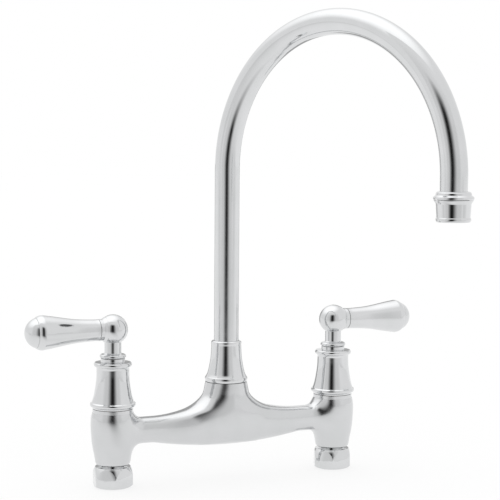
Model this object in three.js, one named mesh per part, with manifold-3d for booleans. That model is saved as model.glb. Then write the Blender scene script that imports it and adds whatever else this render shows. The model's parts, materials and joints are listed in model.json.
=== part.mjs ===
// Bridge kitchen faucet: a cast bridge on two pillars, a swivel C spout and two quarter-turn levers.
//
// Frame: millimetres, +Z up. The origin is midway between the two inlets, on the plane of the
// union nuts' lower faces. X runs along the bridge, and -Y is the side that the user stands at.

import * as THREE from 'three';
import { mergeVertices } from 'three/addons/utils/BufferGeometryUtils.js';
import Module from 'manifold-3d';

const wasm = await Module();
wasm.setup();

// ---------------------------------------------------------------------------------------------
// Driving sizes
// ---------------------------------------------------------------------------------------------

const GAP = 0.3; // clearance between separate pieces that touch or run in each other
const OVERLAP = 1.0; // how far a cutter, or a solid that is joined on, runs past the surface it meets

// Whole faucet
const INLET_SPACING = 203.2; // between the axes of the two inlets
const SPOUT_REACH = 237.6; // from the bridge to the axis of the outlet
const BEND_HEIGHT = 261.3; // centre of the spout's half-circle above the nuts' lower faces
const SPOUT_REST_ANGLE = -68.85; // degrees from +X, where the spout stands at rest

// Union nut
const NUT_ACROSS_FLATS = 30.5;
const NUT_HEIGHT = 17.2;
const NUT_THREAD_RADIUS = 12.1;
const NUT_LIP = 4.0; // thickness of the inward lip that hooks over the tail's flange
const NUT_RIM_RADIUS = 13.4; // flat ring left at the lower end by the rounding
const NUT_ROUNDING = 3.6; // height of the rounding at the lower end
const NUT_CORNER_LAND = 0.2; // how far the rounding leaves the nut's corners whole
const NUT_CHAMFER = 8.5; // height over which the corners are drawn in towards the upper end
const NUT_CHAMFER_START = 0.54; // share of that height where it turns most
const NUT_TOP_RADIUS = 14.6; // flat ring left at the upper end by the chamfer
const LEFT_NUT_TURN = -39.5; // degrees, where a corner of each nut stands at rest
const RIGHT_NUT_TURN = -52.8;

// Inlet tail and washer
const TAIL_RADIUS = 9.0;
const TAIL_BORE_RADIUS = 6.5;
const TAIL_FLANGE = 2.3; // thickness
const INLET_WASHER = 2.0; // thickness
const NUT_TO_PILLAR = 1.8; // open groove between the nut and the pillar

// Pillars of the casting
const PILLAR_HEIGHT = 43.2;
const PILLAR_FOOT_RADIUS = 13.3;
const PILLAR_BELLY_RADIUS = 18.3;
const PILLAR_SHOULDER_RADIUS = 16.9;
const LAND_RADIUS = 16.7; // turned land under the shroud
const LAND_HEIGHT = 3.1;

// Arms of the casting
const ARM_TOP_DROP = 6.0; // top of the arm below the top of the pillar, where the arm is thinnest
const ARM_THIN_HEIGHT = 21.6; // height of the arm there
const ARM_THIN_FROM_PILLAR = 34.6; // how far that is from the pillar's axis
const ARM_THIN_HALF_DEPTH = 10.4;
const ARM_MIDDLE_HALF_DEPTH = 17.4;
const ARM_TOP_SQUARENESS = 2.7; // exponent of the section's upper half. An ellipse has 2
const ARM_BELLY_SQUARENESS = 2.2;
const ARM_RISE = 19.8; // how much the arm's top rises to the middle, inside the upstand
const ARM_SAG = 6.2; // how much the underside drops to the middle
const PILLAR_FILLET = 8.0;
const WATERWAY_RADIUS = 5.0;

// Upstand in the middle of the casting
const UPSTAND_HEIGHT = 82.0; // above the nuts' lower faces
const UPSTAND_TOP_RADIUS = 17.7;
const UPSTAND_HALF_DEPTH = 17.9;
const UPSTAND_FLARE = [
  // how far below its top, and how much wider than the top it is there on each side
  [47.6, 5.0],
  [30.0, 16.0],
  [24.5, 17.0],
  [19.5, 11.0],
  [15.5, 6.8],
  [10.5, 2.8],
  [5.0, 1.1],
  [0, 0],
];
const UPSTAND_FILLET = 6.0;
const FLARE_REACH = 24.3; // how far the flare's outline reaches out beyond the upstand's top

// Valve head
const POCKET_DEPTH = 32.3; // from the land to the seat
const SEAT_WEB = 3.0; // wall between the pocket and the tail's socket
const HEAD_RADIUS = 10.4;
const HEAD_BORE_RADIUS = 8.6; // holds the discs
const HEAD_BORE_DEPTH = 17.0;
const HEAD_HEX = 25.0; // across flats
const HEAD_HEX_HEIGHT = 5.0;
const HEAD_NECK_RADIUS = 8.0;
const HEAD_NECK_HEIGHT = 21.4;
const WINDOW_WIDTH = 9.0;
const WINDOW_HEIGHT = 7.0;
const SEAL_HEIGHT = 2.8;
const SEAL_BORE_RADIUS = 5.4;
const DISC_THICKNESS = 2.6;
const DISC_PORT_RADIUS = 6.9;
const DISC_PORT_ANGLE = 76; // degrees, each of two ports
const TONGUE_WIDTH = 3.4;
const TONGUE_LENGTH = 10.4;
const TONGUE_DEPTH = 1.3;
const SPINDLE_RADIUS = 4.7;
const SPINDLE_FOOT_RADIUS = 6.0;
const SPINDLE_FOOT = 2.0;
const SPLINE_TEETH = 12;
const SPLINE_OUTER_RADIUS = 4.1;
const SPLINE_INNER_RADIUS = 3.5;
const SPINDLE_GROOVE_RADIUS = 3.2;
const SPINDLE_RING_SECTION = 1.2; // diameter of the O-ring's section
const SPINDLE_RING_DROP = 14.0; // O-ring below the top of the valve head
const CIRCLIP_THICKNESS = 1.0;
const CIRCLIP_RADIUS = 6.4;
const CIRCLIP_OPENING = 70; // degrees

// Shroud
const SHROUD_RING_RADIUS = 19.1;
const SHROUD_WAIST_RADIUS = 13.3;
const SHROUD_TOP_RING_RADIUS = 15.7;
const SHROUD_HEIGHT = 38.9;
const SHROUD_NECK_RADIUS = 10.0;
const SHROUD_NECK_HEIGHT = 2.6;
const SHROUD_RING_HEIGHTS = [1.3, 1.9, 3.0, 4.4, 5.2]; // foot, lower and upper edge, and neck of the ring
const SHROUD_CONE = [[2.4, 11.2], [0.5, 23.0]]; // beyond the waist, and above the shroud's lower face
const SHROUD_TOP_RING_DROPS = [6.4, 4.4, 3.8, 2.2, 0.7]; // the same for the upper ring, from the top
const SHROUD_BOSS_DROP = 6.0; // inner cone's upper end below the top of the valve head
const SHROUD_HEX_HEADROOM = 1.0; // free height over the valve head's hexagon
const SPINDLE_HOLE_CLEARANCE = 0.6;

// Handle hub
const LEVER_AXIS_RISE = 23.3; // lever's axis above the hub's lower face
const BALL_RADIUS = 12.4;
const STEM_RADIUS = 6.9;
const HUB_FLANGE_RADIUS = 10.9;
const HUB_FLANGE_HEIGHT = 3.5;
const HUB_BOSS_RADIUS = 8.95;
const HUB_BOSS_LENGTH = 12.5; // from the hub's axis
const HUB_BOSS_ROOT_WIDTH = 1.6; // how much thicker the boss is where it leaves the ball
const HUB_BOSS_ROOT_DROPS = [5.4, 3.2]; // where that ends, from the boss's face
const HUB_SOCKET_DEPTH = 15.0;
const HUB_SCREW_RADIUS = 2.0;
const HUB_SCREW_RISE = 7.8;
const HUB_SCREW_DROP = 0.4; // how far the screw's end lies below the stem's surface
const HUB_SCREW_KEY_RADIUS = 1.1; // of the hexagon socket's corners
const HUB_SCREW_KEY_DEPTH = 1.2;

// Lever and its cap
const LEVER_LENGTH = 74.6; // from the hub's axis to the tip of the cap
const LEVER_GRIP_RADIUS = 14.25;
const LEVER_WAIST_RADIUS = 8.85;
const LEVER_GRIP_END = 5.2; // from the widest place of the grip to its face
const LEVER_SWELL = [[0, 0.1], [1.1, 0.44]]; // beyond the waist, and share of the way to the grip
const LEVER_STUD_RADIUS = 4.0;
const LEVER_STUD_LENGTH = 9.0;
const CAP_LENGTH = 8.7;
const CAP_BALL_RADIUS = 12.9;
const CAP_STUD_RADIUS = 3.0;
const CAP_STUD_LENGTH = 8.6;

// Spout
const TUBE_RADIUS = 10.4;
const TUBE_WALL = 1.2;
const OUTLET_DROP = 17.7; // straight end of the tube below the half-circle
const SPOUT_SOCKET_DEPTH = 33.0; // from the top of the upstand to the socket's floor
const SPIGOT_BORE_RADIUS = 6.5;
const SPIGOT_FLANGE_WIDTH = 3.3; // beyond the tube
const SPIGOT_FLANGE = 2.6; // thickness
const SPIGOT_SLEEVE = 15.0; // how far the spigot reaches into the tube
const SLIP_WASHER = 1.0; // thickness
const SPIGOT_GROOVE_DEPTH = 1.8;
const SPIGOT_GROOVE_HEIGHT = 2.4;
const SPIGOT_RING_SECTION = 1.5;
const SPIGOT_RING_HEIGHTS = [3.9, 9.4]; // O-rings above the spigot's lower end

// Ferrule
const FERRULE_HEIGHT = 34.6;
const FERRULE_BASE_RADIUS = 18.05;
const FERRULE_TOP_WIDTH = 2.3; // beyond the tube
const FERRULE_RING_HEIGHTS = [0.9, 2.2, 3.6, 4.4]; // foot, widest place, and upper edge of the base ring
const FERRULE_CONE_RISES = [8.5, 19.0]; // above the ferrule's lower face
const FERRULE_LIP_DROPS = [3.6, 1.6, 0.8]; // foot, bulge and edge of the lip, from the top
const FERRULE_THREAD = 11.2; // length screwed into the upstand
const FERRULE_THREAD_WALL = 3.6; // beyond the tube

// Outlet
const COLLAR_ABOVE_TUBE_END = 7.3;
const COLLAR_RING_RISE = 1.3; // ring's lower face above the tube's end
const COLLAR_RING_HEIGHTS = [1.1, 2.0, 3.2, 4.6]; // bulge, edge, neck and cap, above that face
const COLLAR_RING_WIDTH = 4.9; // beyond the tube
const COLLAR_SKIRT = 7.4; // length of the threaded skirt under the ring
const COLLAR_SKIRT_WIDTH = 1.2; // beyond the tube
const COLLAR_BORE_RADIUS = 8.4;
const HOUSING_HEIGHT = 16.4;
const HOUSING_TOP_WIDTH = 2.8; // beyond the tube
const HOUSING_FOOT_WIDTH = 2.2;
const HOUSING_BEAD_WIDTH = 3.2;
const HOUSING_BEAD_HEIGHTS = [1.6, 3.4]; // bulge and upper end of the bead at the foot
const HOUSING_RING_DROPS = [3.0, 2.0, 0.6]; // foot, bulge and edge of the ring at the top
const HOUSING_LIP = 1.4;
const HOUSING_LIP_RADIUS = 9.6;
const AERATOR_HEIGHT = 6.3;
const AERATOR_WASHER = 0.8;
const AERATOR_HOLE_RADIUS = 1.25;
const AERATOR_HOLE_PITCH = 3.7;

// Facets
const ROUND = 16; // sides of the turned pieces that show
const ROUND_HIDDEN = 14;
const ROUND_SMALL = 12;

// ---------------------------------------------------------------------------------------------
// Heights and places that follow from the driving sizes
// ---------------------------------------------------------------------------------------------

const halfSpacing = INLET_SPACING / 2;
const bendRadius = SPOUT_REACH / 2;

const nutLipBottom = NUT_HEIGHT - NUT_LIP;
const flangeTop = nutLipBottom - GAP;
const flangeBottom = flangeTop - TAIL_FLANGE;
const washerTop = flangeBottom - GAP;
const washerBottom = washerTop - INLET_WASHER;

const pillarBottom = NUT_HEIGHT + NUT_TO_PILLAR;
const pillarTop = pillarBottom + PILLAR_HEIGHT;
const landTop = pillarTop + LAND_HEIGHT;
const seat = landTop - POCKET_DEPTH;
const tailSocketTop = seat - SEAT_WEB;
const pocketRadius = HEAD_RADIUS + GAP;

const armThinX = halfSpacing - ARM_THIN_FROM_PILLAR;
const armThinTop = pillarTop - ARM_TOP_DROP;
const armThinBottom = armThinTop - ARM_THIN_HEIGHT;
const waterwayHeight = (armThinTop + armThinBottom) / 2;

const socketFloor = UPSTAND_HEIGHT - SPOUT_SOCKET_DEPTH;
const socketRadius = TUBE_RADIUS + GAP;
const ferruleThreadRadius = TUBE_RADIUS + FERRULE_THREAD_WALL;
const counterboreRadius = ferruleThreadRadius + GAP;
const ferruleBottom = UPSTAND_HEIGHT - FERRULE_THREAD;
const slipUpperBottom = ferruleBottom - GAP - SLIP_WASHER;
const spigotFlangeTop = slipUpperBottom - GAP;
const spigotFlangeBottom = spigotFlangeTop - SPIGOT_FLANGE;
const slipLowerBottom = spigotFlangeBottom - GAP - SLIP_WASHER;
const counterboreFloor = slipLowerBottom - GAP;
const spigotBottom = socketFloor + GAP;
const tubeBottom = spigotFlangeTop + GAP;

const shroudBottom = landTop + GAP;
const shroudTop = shroudBottom + SHROUD_HEIGHT;
const shroudNeckTop = shroudTop + SHROUD_NECK_HEIGHT;
const hubBottom = shroudNeckTop + GAP;
const leverAxis = hubBottom + LEVER_AXIS_RISE;

const headBottom = seat + SEAL_HEIGHT / 2;
const headHexBottom = landTop + GAP;
const headHexTop = headHexBottom + HEAD_HEX_HEIGHT;
const headTop = headHexTop + HEAD_NECK_HEIGHT;
const sealBottom = seat + GAP;
const fixedDiscBottom = sealBottom + SEAL_HEIGHT + GAP;
const movingDiscBottom = fixedDiscBottom + DISC_THICKNESS + GAP;
const spindleFootBottom = movingDiscBottom + DISC_THICKNESS + GAP;
const circlipBottom = headTop + GAP;
const splineBottom = circlipBottom + CIRCLIP_THICKNESS + 2 * GAP;
const spindleTop = hubBottom + HUB_SOCKET_DEPTH - GAP;

const tubeEnd = BEND_HEIGHT - OUTLET_DROP;
const collarTop = tubeEnd + COLLAR_ABOVE_TUBE_END;
const collarRingBottom = tubeEnd + COLLAR_RING_RISE;
const collarSkirtBottom = collarRingBottom - COLLAR_SKIRT;
const housingTop = collarRingBottom - GAP;
const housingBottom = housingTop - HOUSING_HEIGHT;
const aeratorBottom = housingBottom + HOUSING_LIP + GAP;
const aeratorTop = aeratorBottom + AERATOR_HEIGHT;

// ---------------------------------------------------------------------------------------------
// Materials
// ---------------------------------------------------------------------------------------------

const chrome = new THREE.MeshStandardMaterial({ color: 0xd3d5d8, roughness: 0.1, metalness: 1.0 });
const brass = new THREE.MeshStandardMaterial({ color: 0xc2a05a, roughness: 0.35, metalness: 1.0 });
const steel = new THREE.MeshStandardMaterial({ color: 0x9da1a5, roughness: 0.3, metalness: 1.0 });
const rubber = new THREE.MeshStandardMaterial({ color: 0x1d1d1f, roughness: 0.8, metalness: 0.0 });
const ceramic = new THREE.MeshStandardMaterial({ color: 0xece8dd, roughness: 0.4, metalness: 0.0 });
const nylon = new THREE.MeshStandardMaterial({ color: 0xe4e4de, roughness: 0.5, metalness: 0.0 });

// ---------------------------------------------------------------------------------------------
// Solids
// ---------------------------------------------------------------------------------------------

const radians = THREE.MathUtils.degToRad;

/** Turns a closed triangle geometry into a solid with its faces pointing out. */
function solidOf(geometry) {
  const bare = new THREE.BufferGeometry();
  bare.setAttribute('position', geometry.getAttribute('position').clone());
  if (geometry.index) bare.setIndex(geometry.index.clone());
  const merged = mergeVertices(bare, 1e-4);
  const index = merged.index.array;
  const triangles = [];
  for (let i = 0; i < index.length; i += 3) {
    const [a, b, c] = [index[i], index[i + 1], index[i + 2]];
    if (a !== b && b !== c && c !== a) triangles.push(a, b, c);
  }
  const vertProperties = new Float32Array(merged.getAttribute('position').array);
  const build = (list) =>
    new wasm.Manifold(new wasm.Mesh({ numProp: 3, vertProperties, triVerts: new Uint32Array(list) }));
  const solid = build(triangles);
  return solid.volume() > 0 ? solid : build(triangles.slice().reverse());
}

function geometryOf(solid) {
  const { vertProperties, triVerts } = solid.getMesh();
  const geometry = new THREE.BufferGeometry();
  geometry.setAttribute('position', new THREE.BufferAttribute(new Float32Array(vertProperties), 3));
  geometry.setIndex(new THREE.BufferAttribute(new Uint32Array(triVerts), 1));
  geometry.computeVertexNormals();
  return geometry;
}

/** A solid of revolution about Z. The path gives (radius, height) and ends on the axis or closes. */
function revolve(path, sides = ROUND, steps = 2) {
  const geometry = new THREE.LatheGeometry(path.getPoints(steps), sides);
  return solidOf(geometry.rotateX(Math.PI / 2));
}

/** A path through straight lines, given as [radius, height] pairs. */
function outline(...points) {
  const path = new THREE.Path();
  path.moveTo(...points[0]);
  points.slice(1).forEach((point) => path.lineTo(...point));
  return path;
}

/** A plain cylinder on the Z axis. */
function rod(radius, bottom, top, sides = ROUND) {
  return revolve(outline([0, bottom], [radius, bottom], [radius, top], [0, top]), sides);
}

/** A cutter for a round hole on the Z axis, with its flats at the hole's true radius. */
function bore(radius, bottom, top, sides = ROUND_HIDDEN) {
  return rod(radius / Math.cos(Math.PI / sides), bottom, top, sides);
}

/** A flat ring on the Z axis. */
function ring(inner, outer, bottom, top, sides = ROUND_HIDDEN) {
  const path = outline([inner, bottom], [outer, bottom], [outer, top], [inner, top], [inner, bottom]);
  return revolve(path, sides);
}

/** A ring of round section on the Z axis. */
function roundRing(middle, section, height, sides = ROUND_SMALL) {
  const path = new THREE.Path();
  path.absarc(middle, height, section / 2, 0, 2 * Math.PI);
  return revolve(path, sides, 3);
}

function prism(shape, bottom, top) {
  const geometry = new THREE.ExtrudeGeometry(shape, { depth: top - bottom, bevelEnabled: false });
  return solidOf(geometry.translate(0, 0, bottom));
}

function box(width, depth, bottom, top) {
  const geometry = new THREE.BoxGeometry(width, depth, top - bottom);
  return solidOf(geometry.translate(0, 0, (bottom + top) / 2));
}

/** An outline in the XY plane with its corners at equal angles and the given radii in turn. */
function star(corners, ...radii) {
  const shape = new THREE.Shape();
  for (let i = 0; i < corners * radii.length; i += 1) {
    const angle = (2 * Math.PI * i) / (corners * radii.length);
    const radius = radii[i % radii.length];
    const point = [radius * Math.cos(angle), radius * Math.sin(angle)];
    if (i === 0) shape.moveTo(...point);
    else shape.lineTo(...point);
  }
  return shape;
}

function hexagon(acrossFlats, bottom, top) {
  return prism(star(6, acrossFlats / 2 / Math.cos(Math.PI / 6)), bottom, top);
}

/** Joins a row of closed rings, each with as many points, and closes both ends. */
function loft(rings) {
  const sides = rings[0].length;
  const positions = rings.flat().flatMap((p) => [p.x, p.y, p.z]);
  const index = [];
  const at = (row, side) => row * sides + (side % sides);
  for (let row = 0; row + 1 < rings.length; row += 1) {
    for (let side = 0; side < sides; side += 1) {
      index.push(at(row, side), at(row, side + 1), at(row + 1, side + 1));
      index.push(at(row, side), at(row + 1, side + 1), at(row + 1, side));
    }
  }
  const last = rings.length - 1;
  for (let side = 1; side + 1 < sides; side += 1) {
    index.push(at(0, 0), at(0, side + 1), at(0, side));
    index.push(at(last, 0), at(last, side), at(last, side + 1));
  }
  const geometry = new THREE.BufferGeometry();
  geometry.setAttribute('position', new THREE.Float32BufferAttribute(positions, 3));
  geometry.setIndex(index);
  return solidOf(geometry);
}

// ---------------------------------------------------------------------------------------------
// Casting: pillars, arms and upstand as one blended skin
// ---------------------------------------------------------------------------------------------

/** Smaller of two distances, rounded over a width of `blend` where they are alike. */
function blendMin(a, b, blend) {
  const overlap = Math.max(blend - Math.abs(a - b), 0) / blend;
  return Math.min(a, b) - (overlap * overlap * blend) / 4;
}

const square = (value) => value * value;

/** A smooth curve of radius against height, through [radius, height] pairs that rise. */
function radiusCurve(...pairs) {
  const curve = new THREE.SplineCurve(pairs.map(([radius, height]) => new THREE.Vector2(height, radius)));
  const samples = curve.getPoints(12 * pairs.length);
  return (height) => {
    if (height <= samples[0].x) return samples[0].y;
    const next = samples.findIndex((sample) => sample.x >= height);
    if (next < 0) return samples[samples.length - 1].y;
    const [a, b] = [samples[next - 1], samples[next]];
    return a.y + ((b.y - a.y) * (height - a.x)) / (b.x - a.x);
  };
}

const pillarRadius = radiusCurve(
  [PILLAR_FOOT_RADIUS, pillarBottom],
  [PILLAR_FOOT_RADIUS + 1.1, pillarBottom + 1.6],
  [PILLAR_BELLY_RADIUS - 2.9, pillarBottom + PILLAR_HEIGHT * 0.17],
  [PILLAR_BELLY_RADIUS - 1.4, pillarBottom + PILLAR_HEIGHT * 0.34],
  [PILLAR_BELLY_RADIUS - 0.5, pillarBottom + PILLAR_HEIGHT * 0.52],
  [PILLAR_BELLY_RADIUS, pillarBottom + PILLAR_HEIGHT * 0.73],
  [PILLAR_BELLY_RADIUS - 0.2, pillarBottom + PILLAR_HEIGHT * 0.9],
  [PILLAR_SHOULDER_RADIUS, pillarTop],
);

// The upstand starts inside the arms, so high that its fillet doesn't reach their underside.
const upstandFoot = armThinBottom - ARM_SAG + UPSTAND_FILLET;

const upstandDepth = radiusCurve(
  [UPSTAND_HALF_DEPTH * 0.5, upstandFoot],
  [UPSTAND_HALF_DEPTH * 0.86, upstandFoot + 5.0],
  [UPSTAND_HALF_DEPTH, upstandFoot + 12.0],
  [UPSTAND_HALF_DEPTH, UPSTAND_HEIGHT - 12.0],
  [UPSTAND_TOP_RADIUS, UPSTAND_HEIGHT],
);

const upstandWidth = radiusCurve(
  ...UPSTAND_FLARE.map(([drop, wider]) => [UPSTAND_TOP_RADIUS + wider, UPSTAND_HEIGHT - drop]),
);

/** Signed distance to an oval about the origin, near enough for blending. Negative inside. */
function ovalDistance(u, v, halfU, halfV, squareness = 2) {
  const [a, b] = [Math.abs(u) / halfU, Math.abs(v) / halfV];
  const scaled = (a ** squareness + b ** squareness) ** (1 / squareness);
  const power = squareness - 1;
  const slope = Math.hypot(a ** power / halfU, b ** power / halfV);
  return slope > 1e-9 ? ((scaled - 1) * scaled ** power) / slope : -halfV;
}

/** Height, half height and half depth of the arm's oval section at a distance from the middle. */
function armSection(x) {
  const inward = Math.max(1 - x / armThinX, 0);
  const outward = Math.min(x / armThinX, 1);
  const top = armThinTop + ARM_RISE * square(inward);
  const bottom = armThinBottom - ARM_SAG * (1 - square(outward));
  const swell = square(1 - square(outward));
  return {
    middle: (top + bottom) / 2,
    halfHeight: (top - bottom) / 2,
    halfDepth: ARM_THIN_HALF_DEPTH + (ARM_MIDDLE_HALF_DEPTH - ARM_THIN_HALF_DEPTH) * swell,
  };
}

/** Signed distance to the casting's skin, near enough for blending. Negative inside. */
function skinDistance(x, y, z) {
  const pillar = Math.hypot(Math.abs(x) - halfSpacing, y) - pillarRadius(z);
  if (Math.abs(x) >= halfSpacing) return pillar;
  const { middle, halfHeight, halfDepth } = armSection(Math.abs(x));
  const squareness = z > middle ? ARM_TOP_SQUARENESS : ARM_BELLY_SQUARENESS;
  const arm = ovalDistance(z - middle, y, halfHeight, halfDepth, squareness);
  const upstand = Math.max(ovalDistance(x, y, upstandWidth(z), upstandDepth(z)), upstandFoot - z);
  return blendMin(blendMin(arm, upstand, UPSTAND_FILLET), pillar, PILLAR_FILLET);
}

/** The point where a ray from outside first meets the casting's outline in the XZ plane. */
function meetOutline(x, z, stepX, stepZ) {
  const stride = 0.5;
  const distance = (t) => skinDistance(x + t * stepX, 0, z + t * stepZ);
  let far = stride;
  while (distance(far) > 0) far += stride;
  let near = far - stride;
  for (let i = 0; i < 30; i += 1) {
    const half = (near + far) / 2;
    if (distance(half) > 0) near = half;
    else far = half;
  }
  return { x: x + near * stepX, z: z + near * stepZ };
}

/** Half the casting's depth at a point of the XZ plane. */
function halfDepthAt(x, z) {
  if (skinDistance(x, 0, z) > -1e-6) return 0;
  let near = 0;
  let far = PILLAR_BELLY_RADIUS + UPSTAND_HALF_DEPTH;
  for (let i = 0; i < 40; i += 1) {
    const half = (near + far) / 2;
    if (skinDistance(x, half, z) < 0) near = half;
    else far = half;
  }
  return near;
}

/** Numbers from `from` to `to` in equal steps, without the first. */
function stepsBetween(from, to, count) {
  return Array.from({ length: count }, (_, i) => from + ((to - from) * (i + 1)) / count);
}

/** A fan of rays about a point outside the casting, each followed to the outline. */
function fan(x, z, fromAngle, toAngle, count) {
  return stepsBetween(fromAngle, toAngle, count).map((angle) =>
    meetOutline(x, z, Math.cos(radians(angle)), Math.sin(radians(angle))),
  );
}

/**
 * Upper and lower end of each station over one half of the casting, from the pillar's axis to
 * the middle. Stations run between them, and turn with the outline where it turns.
 */
function stationEnds() {
  const quarter = stepsBetween(0, Math.PI / 2, 4);
  const underArm = armThinBottom - ARM_SAG - 2 * OVERLAP;
  const besidePillar = armThinX + PILLAR_FILLET;
  const upstandFanX = UPSTAND_TOP_RADIUS + FLARE_REACH;
  const underRim = UPSTAND_TOP_RADIUS / 2;
  const underside = (x) => meetOutline(x, underArm, 0, 1);
  const topSide = (x) => meetOutline(x, UPSTAND_HEIGHT, 0, -1);

  const shoulder = meetOutline(besidePillar, pillarTop, 1, 0);
  const foot = meetOutline(besidePillar, pillarBottom, 1, 0);
  const overPillar = quarter.map((angle) => ({
    upper: { x: halfSpacing - (halfSpacing - shoulder.x) * Math.sin(angle), z: pillarTop },
    lower: { x: halfSpacing - (halfSpacing - foot.x) * Math.sin(angle), z: pillarBottom },
  }));

  const upperFillet = fan(besidePillar, pillarTop, 0, -90, 5);
  const lowerFillet = fan(besidePillar, pillarBottom, 0, 90, 5);
  const fillet = upperFillet.map((upper, i) => ({ upper, lower: lowerFillet[i] }));

  const alongArm = stepsBetween(besidePillar, upstandFanX, 3).map((x) => ({
    upper: topSide(x),
    lower: underside(x),
  }));

  const flare = fan(upstandFanX, UPSTAND_HEIGHT, -90, -180, 6);
  const flareUnderside = stepsBetween(upstandFanX, underRim, 6).map(underside);
  const upFlare = flare.map((upper, i) => ({ upper, lower: flareUnderside[i] }));

  const rim = stepsBetween(Math.PI / 2, 0, 3);
  const rimUnderside = stepsBetween(underRim, 0, 3);
  const overUpstand = rim.map((angle, i) => ({
    upper: { x: UPSTAND_TOP_RADIUS * Math.sin(angle), z: UPSTAND_HEIGHT },
    lower: underside(rimUnderside[i]),
  }));
  return [...overPillar, ...fillet, ...alongArm, ...upFlare, ...overUpstand];
}

/** Points down a station, closer together at both ends, where the section turns fastest. */
function stationShares() {
  const rows = 9;
  return Array.from({ length: rows + 1 }, (_, i) => (1 - Math.cos((Math.PI * i) / rows)) / 2);
}

/** The casting's outer skin as one closed solid, before its bores. */
function castingSkin() {
  const shares = stationShares();
  const outerSide = [0, ...stepsBetween(0, Math.PI / 2, 4)].map((angle) =>
    shares.map((share) => {
      const z = pillarTop - PILLAR_HEIGHT * share;
      return { x: halfSpacing + pillarRadius(z) * Math.cos(angle), z };
    }),
  );
  const innerSide = stationEnds().map(({ upper, lower }) =>
    shares.map((share) => ({
      x: upper.x + (lower.x - upper.x) * share,
      z: upper.z + (lower.z - upper.z) * share,
    })),
  );
  const right = [...outerSide, ...innerSide];
  const left = right.slice(0, -1).reverse().map((row) => row.map(({ x, z }) => ({ x: -x, z })));
  const rings = [...right, ...left].map((row) => {
    const front = row.map(({ x, z }) => new THREE.Vector3(x, -halfDepthAt(x, z), z));
    const back = front.map((p) => new THREE.Vector3(p.x, -p.y, p.z)).reverse();
    return [...front, ...back];
  });
  return loft(rings);
}

function bridgeBody() {
  let body = castingSkin();
  [-halfSpacing, halfSpacing].forEach((x) => {
    const land = rod(LAND_RADIUS, pillarTop - OVERLAP, landTop).translate([x, 0, 0]);
    const tailSocket = bore(TAIL_RADIUS + GAP, pillarBottom - OVERLAP, tailSocketTop);
    const inlet = bore(TAIL_BORE_RADIUS, tailSocketTop - OVERLAP, seat + OVERLAP);
    const pocket = bore(pocketRadius, seat, landTop + OVERLAP);
    body = body.add(land);
    [tailSocket, inlet, pocket].forEach((cut) => {
      body = body.subtract(cut.translate([x, 0, 0]));
    });
  });
  const waterway = bore(WATERWAY_RADIUS, -halfSpacing, halfSpacing, ROUND_SMALL);
  const well = bore(SPIGOT_BORE_RADIUS, waterwayHeight - WATERWAY_RADIUS, socketFloor + OVERLAP);
  const socket = bore(socketRadius, socketFloor, counterboreFloor + OVERLAP);
  const counterbore = bore(counterboreRadius, counterboreFloor, UPSTAND_HEIGHT + OVERLAP);
  return body
    .subtract(waterway.rotate([0, 90, 0]).translate([0, 0, waterwayHeight]))
    .subtract(well)
    .subtract(socket)
    .subtract(counterbore);
}

// ---------------------------------------------------------------------------------------------
// Inlets
// ---------------------------------------------------------------------------------------------

function unionNut() {
  const corner = NUT_ACROSS_FLATS / 2 / Math.cos(Math.PI / 6) + NUT_CORNER_LAND;
  const turn = NUT_HEIGHT - NUT_CHAMFER * NUT_CHAMFER_START;
  const envelope = new THREE.Path();
  envelope.moveTo(0, 0);
  envelope.lineTo(NUT_RIM_RADIUS, 0);
  envelope.quadraticCurveTo(corner - 1.0, NUT_ROUNDING * 0.3, corner, NUT_ROUNDING);
  envelope.lineTo(corner, NUT_HEIGHT - NUT_CHAMFER);
  envelope.quadraticCurveTo(corner - 0.55, turn, NUT_TOP_RADIUS, NUT_HEIGHT);
  envelope.lineTo(0, NUT_HEIGHT);
  return hexagon(NUT_ACROSS_FLATS, 0, NUT_HEIGHT)
    .intersect(revolve(envelope, ROUND_SMALL))
    .subtract(bore(NUT_THREAD_RADIUS, -OVERLAP, nutLipBottom))
    .subtract(bore(TAIL_RADIUS + GAP, nutLipBottom - OVERLAP, NUT_HEIGHT + OVERLAP));
}

function inletTail() {
  const top = tailSocketTop - GAP;
  const flangeRadius = NUT_THREAD_RADIUS - 2 * GAP;
  return revolve(
    outline(
      [TAIL_BORE_RADIUS, flangeBottom],
      [flangeRadius, flangeBottom],
      [flangeRadius, flangeTop],
      [TAIL_RADIUS, flangeTop],
      [TAIL_RADIUS, top],
      [TAIL_BORE_RADIUS, top],
      [TAIL_BORE_RADIUS, flangeBottom],
    ),
    ROUND_HIDDEN,
  );
}

function inletWasher() {
  return ring(TAIL_BORE_RADIUS + 0.8, NUT_THREAD_RADIUS - GAP, washerBottom, washerTop);
}

// ---------------------------------------------------------------------------------------------
// Valve head
// ---------------------------------------------------------------------------------------------

function cartridgeBody() {
  const boreTop = headBottom + HEAD_BORE_DEPTH;
  const spindleBore = SPINDLE_RADIUS + GAP;
  const shell = revolve(
    outline(
      [HEAD_BORE_RADIUS, headBottom],
      [HEAD_RADIUS, headBottom],
      [HEAD_RADIUS, headHexBottom + OVERLAP],
      [HEAD_NECK_RADIUS, headHexBottom + OVERLAP],
      [HEAD_NECK_RADIUS, headTop],
      [spindleBore, headTop],
      [spindleBore, boreTop],
      [HEAD_BORE_RADIUS, boreTop],
      [HEAD_BORE_RADIUS, headBottom],
    ),
    ROUND_HIDDEN,
  );
  const collar = hexagon(HEAD_HEX, headHexBottom, headHexTop)
    .subtract(bore(SPINDLE_RADIUS + 2.0, headHexBottom - OVERLAP, headHexTop + OVERLAP));
  const windowBottom = waterwayHeight - WINDOW_HEIGHT / 2;
  const windows = box(3 * HEAD_RADIUS, WINDOW_WIDTH, windowBottom, windowBottom + WINDOW_HEIGHT);
  return shell.add(collar).subtract(windows);
}

function cartridgeSeal() {
  return ring(SEAL_BORE_RADIUS, HEAD_BORE_RADIUS - GAP, sealBottom, sealBottom + SEAL_HEIGHT);
}

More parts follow.
